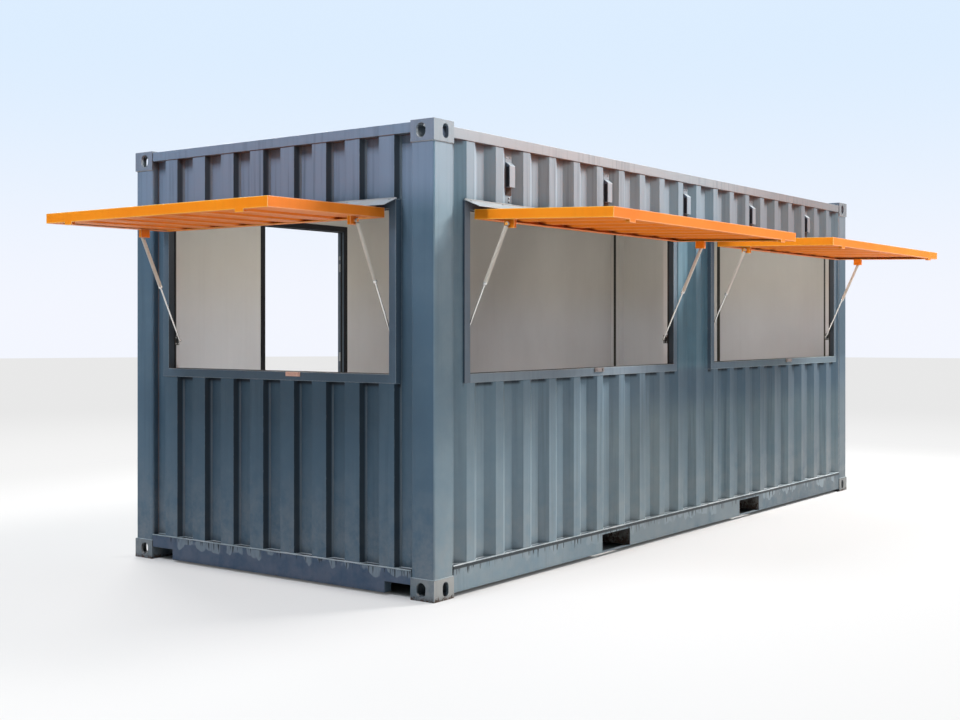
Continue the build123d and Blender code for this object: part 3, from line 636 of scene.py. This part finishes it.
beside = 0.001
seams = bmesh.new()
for name, axis, half, out, foot, top, depth in (
    ("side_welds", 0, inner_x, frame_y, rail_top, wall_top, 0.06),
    ("end_welds", 1, inner_y, frame_x, sill_top, header_foot, 0.07),
):
    beads = bmesh.new()
    level_welds = ((beads, foot + beside, 0.0040), (seams, top - beside, 0.0034))
    upright_shape, upright_size = (seams, 0.005) if axis else (beads, 0.003)
    for way in (-1, 1):
        far = way * (out + clear_of_wall)
        inward = on_wall(axis, 0, -way, 0)
        for shape, height, size in level_welds:
            start, end = (on_wall(axis, side * half, far, height) for side in (-1, 1))
            for line in traced(wall_skin, start, end, inward, reach=clear_of_wall + depth):
                weld_bead(shape, line, size)
        ledge = [on_wall(axis, side * half, way * (out - beside), foot) for side in (-1, 1)]
        weld_bead(beads, ledge, 0.0045)
        for side in (-1, 1):
            edge = on_wall(axis, side * (half - beside), far, (foot + top) / 2)
            level = wall_skin.ray_cast(edge, inward)[0][1 - axis]
            upright = [on_wall(axis, side * half, level, z) for z in (foot, top)]
            weld_bead(upright_shape, upright, upright_size)
    finished(name, beads, weld_paint)
finished("top_seams", seams, seam_paint)

roof_skin = skin_of("roof_panel")
roof_low, roof_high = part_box("roof_panel")
above_roof = roof_high[2] + clear_of_wall
beads = bmesh.new()
for way in (-1, 1):
    seam_y = way * (roof_high[1] - 0.002)
    start, end = ((side * inner_x, seam_y, above_roof) for side in (-1, 1))
    for line in traced(roof_skin, start, end, (0, 0, -1)):
        weld_bead(beads, line)
for way in (-1, 1):
    path = [Vector((way * inner_x, y, roof_high[2])) for y in (roof_low[1], roof_high[1])]
    weld_bead(beads, path)
finished("roof_welds", beads, weld_paint)


# Lining. Boards on battens against every wall and the ceiling, with boxed corners, rolled with
# cream paint, and a black strip over the joint of the far end's boards.
def painted_board(name, paint, shade):
    """Rolled paint on board: a soft stipple, faint clouds and upright scuffs."""
    material, tree, surface = plain_material(name)
    tones = cloud(tree, (1, 1, 0.6), 1.6, 5.0)
    colour = mixed(ramp(tones, 0.3, 0.75), paint, shade)
    colour = mixed(placed(tree, run_marks, Amount=0.12)["Mask"], colour, shades(shade, 0.8))
    link(colour, surface["Base Color"])
    surface["Roughness"].default_value = 0.62
    height = placed(tree, skin_grain, Scale=420.0)["Height"]
    bump = add(tree, "Bump", {"Height": height, "Strength": 0.35, "Distance": 0.0004})["Normal"]
    link(bump, surface["Normal"])
    return material


lining_board = painted_board("lining board", (0.57, 0.545, 0.495), (0.51, 0.485, 0.44))
lining_tree, lining_entry, rolled = base_of(lining_board)
# Painted light: the boards are lighter and bluer low down, standing in for cool light from the open
# hatches.
low_down = ramp(parts(lining_tree, "Z")[0], 1.95, 1.35)
link(tinted(low_down, rolled, (1.08, 1.15, 1.30)), lining_entry)
dress(
    lining_board, "front_lining", "front_lining_piers", "back_lining", "back_lining_over_door",
    "left_end_lining", "left_end_lining_sides", "right_end_lining", "ceiling_lining",
    "corner_boxings",
)
black_trim = painted_steel(
    "black trim", (0.030, 0.028, 0.024), (0.042, 0.040, 0.034), (0.06, 0.06, 0.05),
)
dress(black_trim, "lining_joint_strip")


def turned(shape, place, axis, outline, sides=12):
    """A turned form, from rings of (radius, distance along the axis)."""
    ahead = Vector(axis).normalized()
    side = ahead.orthogonal().normalized()
    other = ahead.cross(side)
    skinned(shape, [
        ring(shape, place + far * ahead, side, other, radius, sides) for radius, far in outline
    ])


def bar(shape, first, second):
    """A square bar or plate between two opposite corners."""
    first, second = Vector(first), Vector(second)
    low = [min(pair) for pair in zip(first, second)]
    high = [max(pair) for pair in zip(first, second)]
    corners = [
        shape.verts.new((x, y, z)) for z in (low[2], high[2]) for y in (low[1], high[1])
        for x in (low[0], high[0])
    ]
    for face in ((0, 2, 3, 1), (4, 5, 7, 6), (0, 1, 5, 4), (2, 6, 7, 3), (0, 4, 6, 2), (1, 3, 7, 5)):
        shape.faces.new([corners[number] for number in face])


boxing_x = inner_x - 0.012
joint_sides = (1.078, 1.104)
joint_ends = (0.172, 2.46)
seams = bmesh.new()
for end_way in (-1, 1):
    for side_way in (-1, 1):
        near, far = ((side_way * y, z) for y, z in zip(joint_sides, joint_ends))
        bar(seams, (end_way * (boxing_x - 0.0012), *near), (end_way * boxing_x, *far))
finished("boxing_joints", seams, black_trim)


# Floor. Boards of thick container plywood between the rails, held down by even rows of
# countersunk screws, sealed and then worn dull by feet.
floor_wood, wood_tree, wood_surface = plain_material("floor plywood")
grain_lines = cloud(wood_tree, (5, 70, 5), 1.0, 7.0, 0.65)
wood_tones = cloud(wood_tree, (0.8, 2.4, 1), 1.4, 3.0)
wood = mixed(ramp(grain_lines, 0.35, 0.7), (0.27, 0.155, 0.078), (0.16, 0.085, 0.042))
wood = mixed(ramp(wood_tones, 0.4, 0.7), wood, (0.21, 0.135, 0.08))
trodden = placed(wood_tree, dust, Amount=0.5, Splash=0.0)["Mask"]
link(mixed(trodden, wood, (0.30, 0.27, 0.23)), wood_surface["Base Color"])
wood_surface["Roughness"].default_value = 0.55
wood_relief = {"Height": grain_lines, "Strength": 0.4, "Distance": 0.0006}
link(add(wood_tree, "Bump", wood_relief)["Normal"], wood_surface["Normal"])
dress(floor_wood, "floor_boards")
round_edges(0.001, "floor_boards")

screw_steel = painted_steel(
    "screw steel", (0.34, 0.34, 0.34), (0.42, 0.42, 0.41), (0.5, 0.5, 0.5),
    gloss=0.35, wear=0.0, marks=0.0, dusty=0.2, metallic=0.9,
)
floor_low, floor_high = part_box("floor_boards")
countersunk = [(0.0048, -0.0012), (0.0048, 0.0002), (0.0030, 0.0005)]
screw_rows, screw_columns = 16, 9
from_end, from_side = 0.12, 0.09
row_step = (floor_high[0] - floor_low[0] - 2 * from_end) / (screw_rows - 1)
column_step = (floor_high[1] - floor_low[1] - 2 * from_side) / (screw_columns - 1)
screws = bmesh.new()
for row in range(screw_rows):
    for column in range(screw_columns):
        x = floor_low[0] + from_end + row * row_step
        y = floor_low[1] + from_side + column * column_step
        if abs(y) < inner_y or abs(x) < inner_x:
            turned(screws, Vector((x, y, floor_high[2])), (0, 0, 1), countersunk, 8)
finished("floor_screws", screws, screw_steel)


# Doorway. A folded and welded steel surround, near black toward the room and on its near jamb, the
# jamb as painted shade, with a rubber seal in its rebate and bright keeps for the lock on one jamb.
# Its leaf is away.
door_paint = painted_steel(
    "door frame paint", (0.105, 0.130, 0.160), (0.125, 0.150, 0.180), worn_primer, wear=0.3,
)
door_tree, door_entry, door_colour = base_of(door_paint)
# Painted shade: near black on the near jamb, and near black on faces toward the room.
black_jamb = ramp(parts(door_tree, "X")[0], -1.935, -1.945)
toward_room = ramp(parts(door_tree, "Y", "Normal")[0], -0.6, -0.8)
black_face = maths("MAXIMUM", black_jamb, toward_room)
link(mixed(black_face, door_colour, (0.007, 0.007, 0.009)), door_entry)
dress(door_paint, "door_frame")
round_edges(0.0012, "door_frame")
rubber = painted_steel(
    "rubber", (0.014, 0.014, 0.015), (0.024, 0.024, 0.024), (0.03, 0.03, 0.03),
    gloss=0.6, wear=0.0, marks=0.2, dusty=0.3,
)
door_low, door_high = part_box("door_frame")
door_face = 0.042
jamb_left, jamb_right = door_low[0] + door_face, door_high[0] - door_face
head_z = door_high[2] - door_face
seal_width, seal_depth = 0.007, 0.011
seal_y, seal_foot = door_low[1] + 0.016, door_low[2] + 0.02
seal = bmesh.new()
for jamb, inward in ((jamb_left, seal_width), (jamb_right, -seal_width)):
    bar(seal, (jamb, seal_y, seal_foot), (jamb + inward, seal_y + seal_depth, head_z))
bar(
    seal, (jamb_left + seal_width, seal_y, head_z - seal_width),
    (jamb_right - seal_width, seal_y + seal_depth, head_z),
)
finished("door_seal", seal, rubber)
keep_plate = 0.0018
keep_front, keep_back = seal_y + 0.014, seal_y + 0.034
keeps = bmesh.new()
for middle, tall in ((0.52, 0.06), (1.25, 0.068), (1.92, 0.06), (1.995, 0.03)):
    bar(
        keeps, (jamb_right - keep_plate, keep_front, middle - tall / 2),
        (jamb_right, keep_back, middle + tall / 2),
    )
finished("lock_keeps", keeps, screw_steel)


# Wall vents. Pressed hoods over slots in the sheet, open at their sides, on a riveted plate with a
# small grille below, so that air passes and rain does not. The hoods are painted paler than the wall
# as painted light, and the slots and grille are dark as painted shade in their openings.
# Painted light: the hoods are paler than the wall.
vent_paint = painted_steel(
    "vent paint", (0.17, 0.195, 0.215), (0.21, 0.235, 0.25), worn_primer, wear=0.9,
    bleached=(0.225, 0.275, 0.32),
)
# Painted shade: the grille is dark brown, standing for the shade in the opening under the hood.
vent_dirt = painted_steel(
    "vent grille", (0.060, 0.050, 0.047), (0.13, 0.10, 0.09), (0.2, 0.17, 0.15),
    gloss=0.7, wear=0.2, dusty=0.2,
)
# Painted shade: the slots are near black, standing for the shade inside the hood.
dark_slot = painted_steel(
    "vent slot", (0.028, 0.031, 0.036), (0.045, 0.05, 0.056), (0.06, 0.06, 0.06),
    gloss=0.8, wear=0.0, dusty=0.0,
)
dress(vent_paint, "wall_vents")
round_edges(0.0015, "wall_vents")


def groups_along(name, axis, gap):
    """Lowest and highest value along an axis of each group of solids in a node."""
    found = sorted(vertex.co[axis] for vertex in piece[name].data.vertices)
    groups = [[found[0]]]
    for before, value in zip(found, found[1:]):
        if value - before > gap:
            groups.append([])
        groups[-1].append(value)
    return [(min(group), max(group)) for group in groups]


vent_low, vent_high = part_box("wall_vents")
vent_face = vent_high[1]
vent_back = groups_along("wall_vents", 1, 0.5)[1][0]
rivet = [(0.0052, -0.001), (0.0052, 0.0006), (0.0040, 0.0021), (0.0016, 0.0028)]
plates, slots, grilles, rivets = (bmesh.new() for each in range(4))
hood_top, hood_foot = vent_high[2], vent_low[2]
slot_count, slot_step, slot_tall = 7, 0.0145, 0.0022
grille_count, grille_step, grille_tall = 6, 0.007, 0.0036
for side_way in (-1, 1):
    back, face = side_way * vent_back, side_way * vent_face
    slot_back, slot_face = back + side_way * 0.006, face - side_way * 0.005
    plate_face, grille_face = back + side_way * 0.0015, back + side_way * 0.004
    for left, right in groups_along("wall_vents", 0, 0.3):
        bar(
            plates, (left - 0.005, back, hood_top - 0.004),
            (right + 0.005, back + side_way * 0.0018, hood_top + 0.036),
        )
        for edge, way in ((left, -1), (right, 1)):
            bar(
                slots, (edge, slot_back, hood_foot + 0.006),
                (edge + way * 0.0007, slot_face, hood_top - 0.030),
            )
            for number in range(slot_count):
                z = hood_foot + 0.018 + number * slot_step
                bar(slots, (edge, slot_back, z), (edge + way * 0.0014, slot_face, z + slot_tall))
        for number in range(grille_count):
            z = hood_foot - 0.042 + number * grille_step
            bar(grilles, (left + 0.002, back, z), (right - 0.002, grille_face, z + grille_tall))
        bar(
            grilles, (left - 0.002, back, hood_foot - 0.044),
            (right + 0.002, plate_face, hood_foot + 0.002),
        )
        lower_x = (left + right) / 2 + 0.004
        for x, z in (
            (left + 0.008, hood_top + 0.024), (right - 0.012, hood_top + 0.024),
            (lower_x, hood_foot - 0.060), (lower_x, hood_foot - 0.080),
        ):
            turned(rivets, Vector((x, plate_face, z)), (0, side_way, 0), rivet, 10)
finished("vent_plates", plates, vent_paint)
finished("vent_slots", slots, dark_slot)
finished("vent_grilles", grilles, vent_dirt)
finished("vent_rivets", rivets, screw_steel)


# Hatch frames. Folded steel surrounds let into the walls and welded all round, open to the edge of the
# lining, with a black rubber strip along the joint. Their edges are pale, partly rubbed bright by
# handling and partly painted highlight. The inner faces of their jambs are darkened as painted shade,
# the near jamb of the front left hatch is painted darker as shade and the sill of the front right
# hatch lighter as painted light.
# Pale edges: partly rubbed by handling, partly painted highlight; and a darker high colour as painted
# shade under the leaves.
hatch_frame_paint = painted_steel(
    "hatch frame paint", (0.088, 0.135, 0.185), (0.105, 0.160, 0.210), (0.36, 0.40, 0.42),
    wear=1.4, marks=0.3, reach=0.007, bleached=(0.10, 0.145, 0.18),
)
hatch_frames = [f"{hatch}_frame" for hatch in every_hatch]
hatch_axis = {hatch: 0 if hatch in front_hatches else 1 for hatch in every_hatch}
reveal_tree, reveal_entry, reveal_colour = base_of(hatch_frame_paint)
reveal_place = parts(reveal_tree, "XYZ")
reveal_facing = [maths("ABSOLUTE", part) for part in parts(reveal_tree, "XY", "Normal")]
# Painted shade: the inner faces of the hatch jambs are darkened towards near black.
for hatch in every_hatch:
    low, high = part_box(f"{hatch}_frame")
    masks = []
    for axis in (0, 1):
        off = maths("SUBTRACT", reveal_place[axis], (low[axis] + high[axis]) / 2)
        off = maths("ABSOLUTE", off)
        if axis == hatch_axis[hatch]:
            masks.append(maths("LESS_THAN", off, (high[axis] - low[axis]) / 2 - 0.02))
            masks.append(ramp(reveal_facing[axis], 0.6, 0.8))
        else:
            masks.append(maths("LESS_THAN", off, through_wall))
    reveal_colour = mixed(times(*masks, 0.8), reveal_colour, soot)
along_x, across_y, along_z = reveal_place
# Painted shade on the near jamb of the front left hatch, and painted light on the sill of the front
# right hatch.
on_front = maths("LESS_THAN", across_y, -1.13)
near_jamb = times(on_front, ramp(along_x, -2.695, -2.702))
reveal_colour = tinted(near_jamb, reveal_colour, (0.68, 0.68, 0.72))
far_sill = times(on_front, ramp(along_z, 1.25, 1.2), ramp(along_x, 0.2, 1.2))
link(tinted(far_sill, reveal_colour, (1.12, 1.18, 1.13)), reveal_entry)
dress(hatch_frame_paint, *hatch_frames)
round_edges(0.0015, *hatch_frames)
frame_face = 0.050


def hatch_place(hatch, along, outward, up=0.0):
    """A place by a hatch: along its hinge, outward from the hinge line and up from it."""
    pin = Vector(joint[f"{hatch}_swing"]["pos_m"])
    return pin + on_wall(hatch_axis[hatch], along, -outward, up)


def hatch_half(hatch):
    """Half the clear width of a hatch opening."""
    low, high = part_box(f"{hatch}_frame")
    axis = hatch_axis[hatch]
    return (high[axis] - low[axis]) / 2 - frame_face


strip_width, strip_half_depth = 0.003, 0.006
beads, strips = bmesh.new(), bmesh.new()
for hatch in every_hatch:
    low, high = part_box(f"{hatch}_frame")
    axis = hatch_axis[hatch]
    other = 1 - axis
    toward = on_wall(axis, 0, 1, 0)
    before = low[other] - clear_of_wall
    for height in (low[2] - beside, high[2] + beside):
        start, end = (on_wall(axis, edge, before, height) for edge in (low[axis], high[axis]))
        for line in traced(wall_skin, start, end, toward, reach=clear_of_wall + 0.06):
            weld_bead(beads, line)
    for edge, way in ((low[axis], -beside), (high[axis], beside)):
        probe = on_wall(axis, edge + way, before, (low[2] + high[2]) / 2)
        level = wall_skin.ray_cast(probe, toward)[0][other]
        weld_bead(beads, [on_wall(axis, edge, level, z) for z in (low[2], high[2])])
    half = hatch_half(hatch)
    pin_z = joint[f"{hatch}_swing"]["pos_m"][2]
    sill, head = low[2] + frame_face - pin_z, high[2] - frame_face - pin_z
    middle_depth = hatch_place(hatch, 0, 0)[other] - high[other]
    outer, inner = middle_depth - strip_half_depth, middle_depth + strip_half_depth
    for way in (-1, 1):
        bar(
            strips, hatch_place(hatch, way * half, outer, sill),
            hatch_place(hatch, way * (half - strip_width), inner, head),
        )
    for level, way in ((sill, 1), (head, -1)):
        bar(
            strips, hatch_place(hatch, -half, outer, level),
            hatch_place(hatch, half, inner, level + way * strip_width),
        )
finished("hatch_frame_welds", beads, frame_paint)
finished("hatch_frame_strips", strips, rubber)


# Hinges and drip flashings. Rolled knuckles on a plain pin, and over them a bent steel strip that
# throws rain clear of the hinge line, held by pan head screws and sealed along its top. The strip is
# painted paler than the walls, as painted light where it faces the sky.
dress(frame_paint, "hatch_hinges")
# Painted light: the strip is paler than the walls, where it faces the sky.
flashing_paint = painted_steel(
    "flashing paint", (0.30, 0.34, 0.37), (0.36, 0.40, 0.43), (0.55, 0.57, 0.58),
    gloss=0.35, wear=1.0, marks=0.2, dusty=0.7,
)
dress(flashing_paint, "drip_flashings")
round_edges(0.0008, "drip_flashings")
flashing_skin = skin_of("drip_flashings")
pan_head = [(0.0056, -0.001), (0.0056, 0.0012), (0.0046, 0.0030), (0.0020, 0.0036)]
screw_step, from_side = 0.3, 0.03
straight_down = Vector((0, 0, -1))
screws, sealant = bmesh.new(), bmesh.new()
for hatch in every_hatch:
    half = hatch_half(hatch) + frame_face
    count = round(2 * half / screw_step)
    for number in range(count + 1):
        along = -half + from_side + number * (2 * half - 2 * from_side) / count
        above = hatch_place(hatch, along, 0.012, clear_of_wall)
        place, normal = flashing_skin.ray_cast(above, straight_down)[:2]
        turned(screws, place, normal, pan_head, 10)
    edge = [hatch_place(hatch, along, -0.010, 0.0) for along in (-half, half)]
    above = edge[0].lerp(edge[1], 0.5) + Vector((0, 0, clear_of_wall))
    top = flashing_skin.ray_cast(above, straight_down)[0]
    line = [Vector((place.x, place.y, top.z + 0.001)) for place in edge]
    points = spaced(line, 0.02)
    tube(sealant, points, [0.0035 * (1 + 0.35 * noise.noise(point * 14)) for point in points], 6)
finished("flashing_screws", screws, screw_steel)
seal_grey = painted_board("sealant", (0.30, 0.31, 0.32), (0.38, 0.39, 0.39))
finished("flashing_sealant", sealant, seal_grey)


# Hatch leaves. A ring of folded channel round a corrugated panel, welded at its corners and sprayed
# orange, the one bright colour of the cabin. The paint is rubbed at the edges, and on faces on the
# near end the orange is painted lighter and yellower as painted light.
orange_paint = painted_steel(
    "orange paint", (0.88, 0.205, 0.010), (0.92, 0.24, 0.016), (0.95, 0.58, 0.36),
    gloss=0.45, wear=1.6, marks=0.12, dusty=0.15, shine=0.2, reach=0.008, grime=0.35,
)
orange_tree, orange_entry, orange_colour = base_of(orange_paint)
# Painted light: faces on the near end are lighter and yellower.
end_on = placed(orange_tree, sun_bleach)["End"]
link(tinted(end_on, orange_colour, (1.08, 1.25, 0.45)), orange_entry)
for hatch in every_hatch:
    dress(orange_paint, f"{hatch}_leaf", f"{hatch}_panel")
    round_edges(0.002, f"{hatch}_leaf")


# Catch plates. A short steel tongue on each sill that the closed leaf is pinned to, held by two
# bolts, once sprayed orange with the leaves and now faded or painted over.
catch_paint = orange_paint.copy()
catch_paint.name = "catch paint"
catch_tree, catch_entry, bright = base_of(catch_paint)
on_long_side = ramp(parts(catch_tree, "Y")[0], -1.1, -1.2)
faded_catch = mixed(on_long_side, (0.93, 0.60, 0.50), (0.20, 0.235, 0.25))
link(mixed(0.9, bright, faded_catch), catch_entry)
dress(catch_paint, "catch_plates")
round_edges(0.001, "catch_plates")
catch_skin = skin_of("catch_plates")
bolts = bmesh.new()
hex_head = [(0.0075, -0.001), (0.0075, 0.0042), (0.0062, 0.0050)]
bolts_along, bolts_under_sill = (0.145, 0.215), 0.013
for hatch in every_hatch:
    pin_z = joint[f"{hatch}_swing"]["pos_m"][2]
    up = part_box(f"{hatch}_frame")[0][2] + frame_face - pin_z - bolts_under_sill
    side = 1 if hatch in front_hatches else -1
    inward = hatch_place(hatch, 0, -1) - hatch_place(hatch, 0, 0)
    for along in bolts_along:
        before = hatch_place(hatch, side * along, clear_of_wall, up)
        place, normal = catch_skin.ray_cast(before, inward)[:2]
        turned(bolts, place, normal, hex_head, 6)
finished("catch_bolts", bolts, catch_paint)


# Gas struts. Painted cylinders that hang from orange brackets on the leaf, with pressed collars
# and a crimped seal where each rod goes in, and polished rods that end in eyes beside black
# brackets screwed to the edge of the lining.
cylinder_paint = painted_steel(
    "cylinder paint", (0.62, 0.555, 0.47), (0.68, 0.62, 0.53), (0.4, 0.4, 0.4), gloss=0.3,
    wear=0.0, marks=0.1, dusty=0.1, shine=0.5,
)
rod_steel = painted_steel(
    "rod steel", (0.80, 0.78, 0.74), (0.86, 0.84, 0.81), (0.9, 0.9, 0.9),
    gloss=0.2, wear=0.0, marks=0.0, dusty=0.0, metallic=0.7, shine=0.5,
)
dress(black_trim, "strut_brackets")
round_edges(0.001, "strut_brackets")
cylinder_radius = 0.011
cylinder_length = 0.360
collar = [(0.0112, 0.0), (0.0121, 0.001), (0.0121, 0.008), (0.0112, 0.009)]
seal_end = [(0.0111, -0.014), (0.0119, -0.012), (0.0119, 0.0), (0.0085, 0.0035), (0.0065, 0.0042)]
for hatch in every_hatch:
    dress(cylinder_paint, f"{hatch}_cylinders")
    dress(rod_steel, f"{hatch}_rods")
    body = f"{hatch}_cylinders"
    axis = hatch_axis[hatch]
    low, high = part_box(body)
    pin = Vector(joint[f"{hatch}_cylinder_swing"]["pos_m"])
    slide = Vector(joint[f"{hatch}_rod_slide"]["axis"])
    down = slide if slide.z < 0 else -slide
    collars, seals = bmesh.new(), bmesh.new()
    for edge, way in ((low[axis], -1), (high[axis], 1)):
        top = pin.copy()
        top[axis] = edge - way * cylinder_radius
        for from_top in (0.020, cylinder_length - 0.034):
            turned(collars, top + down * from_top, down, collar, 20)
        turned(seals, top + down * cylinder_length, down, seal_end, 20)
    finished(f"{hatch}_cylinder_collars", collars, cylinder_paint, body)
    finished(f"{hatch}_cylinder_seals", seals, rod_steel, body)
bracket_drop, screws_off = 0.738, 0.019
bracket_levels = (-bracket_drop - screws_off, -bracket_drop + screws_off)
bracket_depths = (-0.062, -0.080)
before_bracket, bracket_reach = 0.03, 0.05
bolts = bmesh.new()
bracket_skin = skin_of("strut_brackets")
for hatch in every_hatch:
    half = hatch_half(hatch)
    for way in (-1, 1):
        outward = hatch_place(hatch, way, 0) - hatch_place(hatch, 0, 0)
        for up in bracket_levels:
            for deep in bracket_depths:
                start = hatch_place(hatch, way * (half - before_bracket), deep, up)
                place, normal = bracket_skin.ray_cast(start, outward.normalized(), bracket_reach)[:2]
                if place:
                    turned(bolts, place, normal, pan_head, 10)
finished("strut_bracket_screws", bolts, screw_steel)


# Studio. A pale floor to the horizon and a pale sky, a large soft lamp high on the right, two over
# the near corner and end and one behind, and in the room two under the ceiling and two low down.
# The camera stands off the near corner, at the height of a person's shoulder.
floor_reach, floor_sides = 57.0, 96
floor_mesh = bpy.data.meshes.new("studio_floor")
angles = [tau * number / floor_sides for number in range(floor_sides)]
rim = [(floor_reach * cos(angle), floor_reach * sin(angle), 0) for angle in angles]
floor_mesh.from_pydata(rim, [], [list(range(floor_sides))])
studio_floor = bpy.data.objects.new("studio_floor", floor_mesh)
bpy.context.scene.collection.objects.link(studio_floor)
floor_finish, floor_tree, floor_surface = plain_material("studio floor")
floor_surface["Roughness"].default_value = 0.9
floor_path = add(floor_tree, "LightPath")
floor_seen = maths("MAXIMUM", floor_path["Is Camera Ray"], floor_path["Is Transmission Ray"])
floor_seen = maths("MAXIMUM", floor_seen, floor_path["Is Glossy Ray"])
floor_tone = mixed(floor_seen, (0.50, 0.50, 0.50), (0.56, 0.56, 0.56))
link(floor_tone, floor_surface["Base Color"])
floor_place = add(floor_tree, "TexCoord")["Object"]
from_middle = add(floor_tree, "VectorMath", {0: floor_place}, operation="LENGTH")["Value"]
past_end, past_side = (
    maths("SUBTRACT", maths("ABSOLUTE", part), half)
    for part, half in zip(parts(floor_tree, "XY"), (frame_x, frame_y))
)
outside = maths("MAXIMUM", past_end, past_side)
evened = times(ramp(outside, 0.7, 5.0), 0.45)
evened = maths("MULTIPLY_ADD", ramp(outside, -0.12, 0.15), 0.55, evened)
glow_tone = mixed(ramp(from_middle, 5.0, 16.0), (0.92, 0.92, 0.92), (0.81, 0.81, 0.81))
far_glow = add(floor_tree, "Emission", {"Color": glow_tone, "Strength": 1.0})["Emission"]
floor_bsdf = floor_tree.nodes["Principled BSDF"].outputs["BSDF"]
floor_mix = add(floor_tree, "MixShader", {0: times(evened, floor_seen), 1: floor_bsdf, 2: far_glow})
link(floor_mix["Shader"], floor_tree.nodes["Material Output"].inputs["Surface"])
floor_mesh.materials.append(floor_finish)

sky = bpy.data.worlds.new("studio sky")
sky.use_nodes = True
bpy.context.scene.world = sky
sky_tree = sky.node_tree
rise = ramp(parts(sky_tree, "Z", "Generated")[0], 0.0, 0.22)
shown = mixed(rise, (0.90, 0.925, 1.0), (0.72, 0.85, 1.0))
path = add(sky_tree, "LightPath")
seen = maths("MAXIMUM", path["Is Camera Ray"], path["Is Transmission Ray"])
background = sky_tree.nodes["Background"].inputs
link(mixed(seen, (0.66, 0.86, 1.0), shown), background["Color"])
link(maths("MULTIPLY_ADD", seen, 0.75, 0.25), background["Strength"])


def lamp(name, place, target, size, power, colour=(1, 1, 1)):
    """A square soft lamp at a place, turned to a target."""
    data = bpy.data.lights.new(name, "AREA")
    data.size = size
    data.energy = power
    data.color = colour
    holder = bpy.data.objects.new(name, data)
    holder.location = place
    holder.rotation_euler = (Vector(target) - Vector(place)).to_track_quat("-Z", "Y").to_euler()
    holder.visible_camera = False
    bpy.context.scene.collection.objects.link(holder)


warm = (1.0, 0.98, 0.95)
lamp("right lamp", (14.0, -8.8, 13.6), (0, -1, 1.3), 6.0, 9000, warm)
lamp("corner lamp", (-1.2, -3.8, 6.2), (-2.0, -1.2, 2.2), 2.5, 50, warm)
lamp("end lamp", (-8.4, 0.3, 9.8), (-3.1, 0, 2.1), 3.5, 930, (0.90, 0.93, 1.0))
lamp("back lamp", (3.0, 9.0, 7.5), (0, 1, 1.2), 5.0, 1500, warm)
lamp("near ceiling lamp", (-1.8, -0.25, 2.45), (-1.8, -0.25, 0.0), 1.2, 22, (1.0, 0.97, 0.91))
lamp("low lamp", (0.9, -0.75, 0.45), (1.0, 1.0, 1.3), 0.7, 6, (0.92, 0.94, 1.0))
lamp("near low lamp", (-2.2, 0.2, 0.5), (-2.3, 1.1, 1.0), 0.5, 3.2, (0.78, 0.88, 1.0))
lamp("far ceiling lamp", (1.25, -0.6, 2.15), (3.0, -0.5, 1.0), 0.8, 12, warm)

camera_data = bpy.data.cameras.new("camera")
camera_data.sensor_width = 36
camera_data.lens = 48.995
camera_data.shift_y = -0.03385
camera_data.clip_end = 200
camera = bpy.data.objects.new("camera", camera_data)
camera.location = (-8.5066, -5.5216, 1.4707)
camera.rotation_euler = (pi / 2, 0, radians(-53.871))
bpy.context.scene.collection.objects.link(camera)
bpy.context.scene.camera = camera
bpy.context.scene.view_settings.view_transform = "Standard"
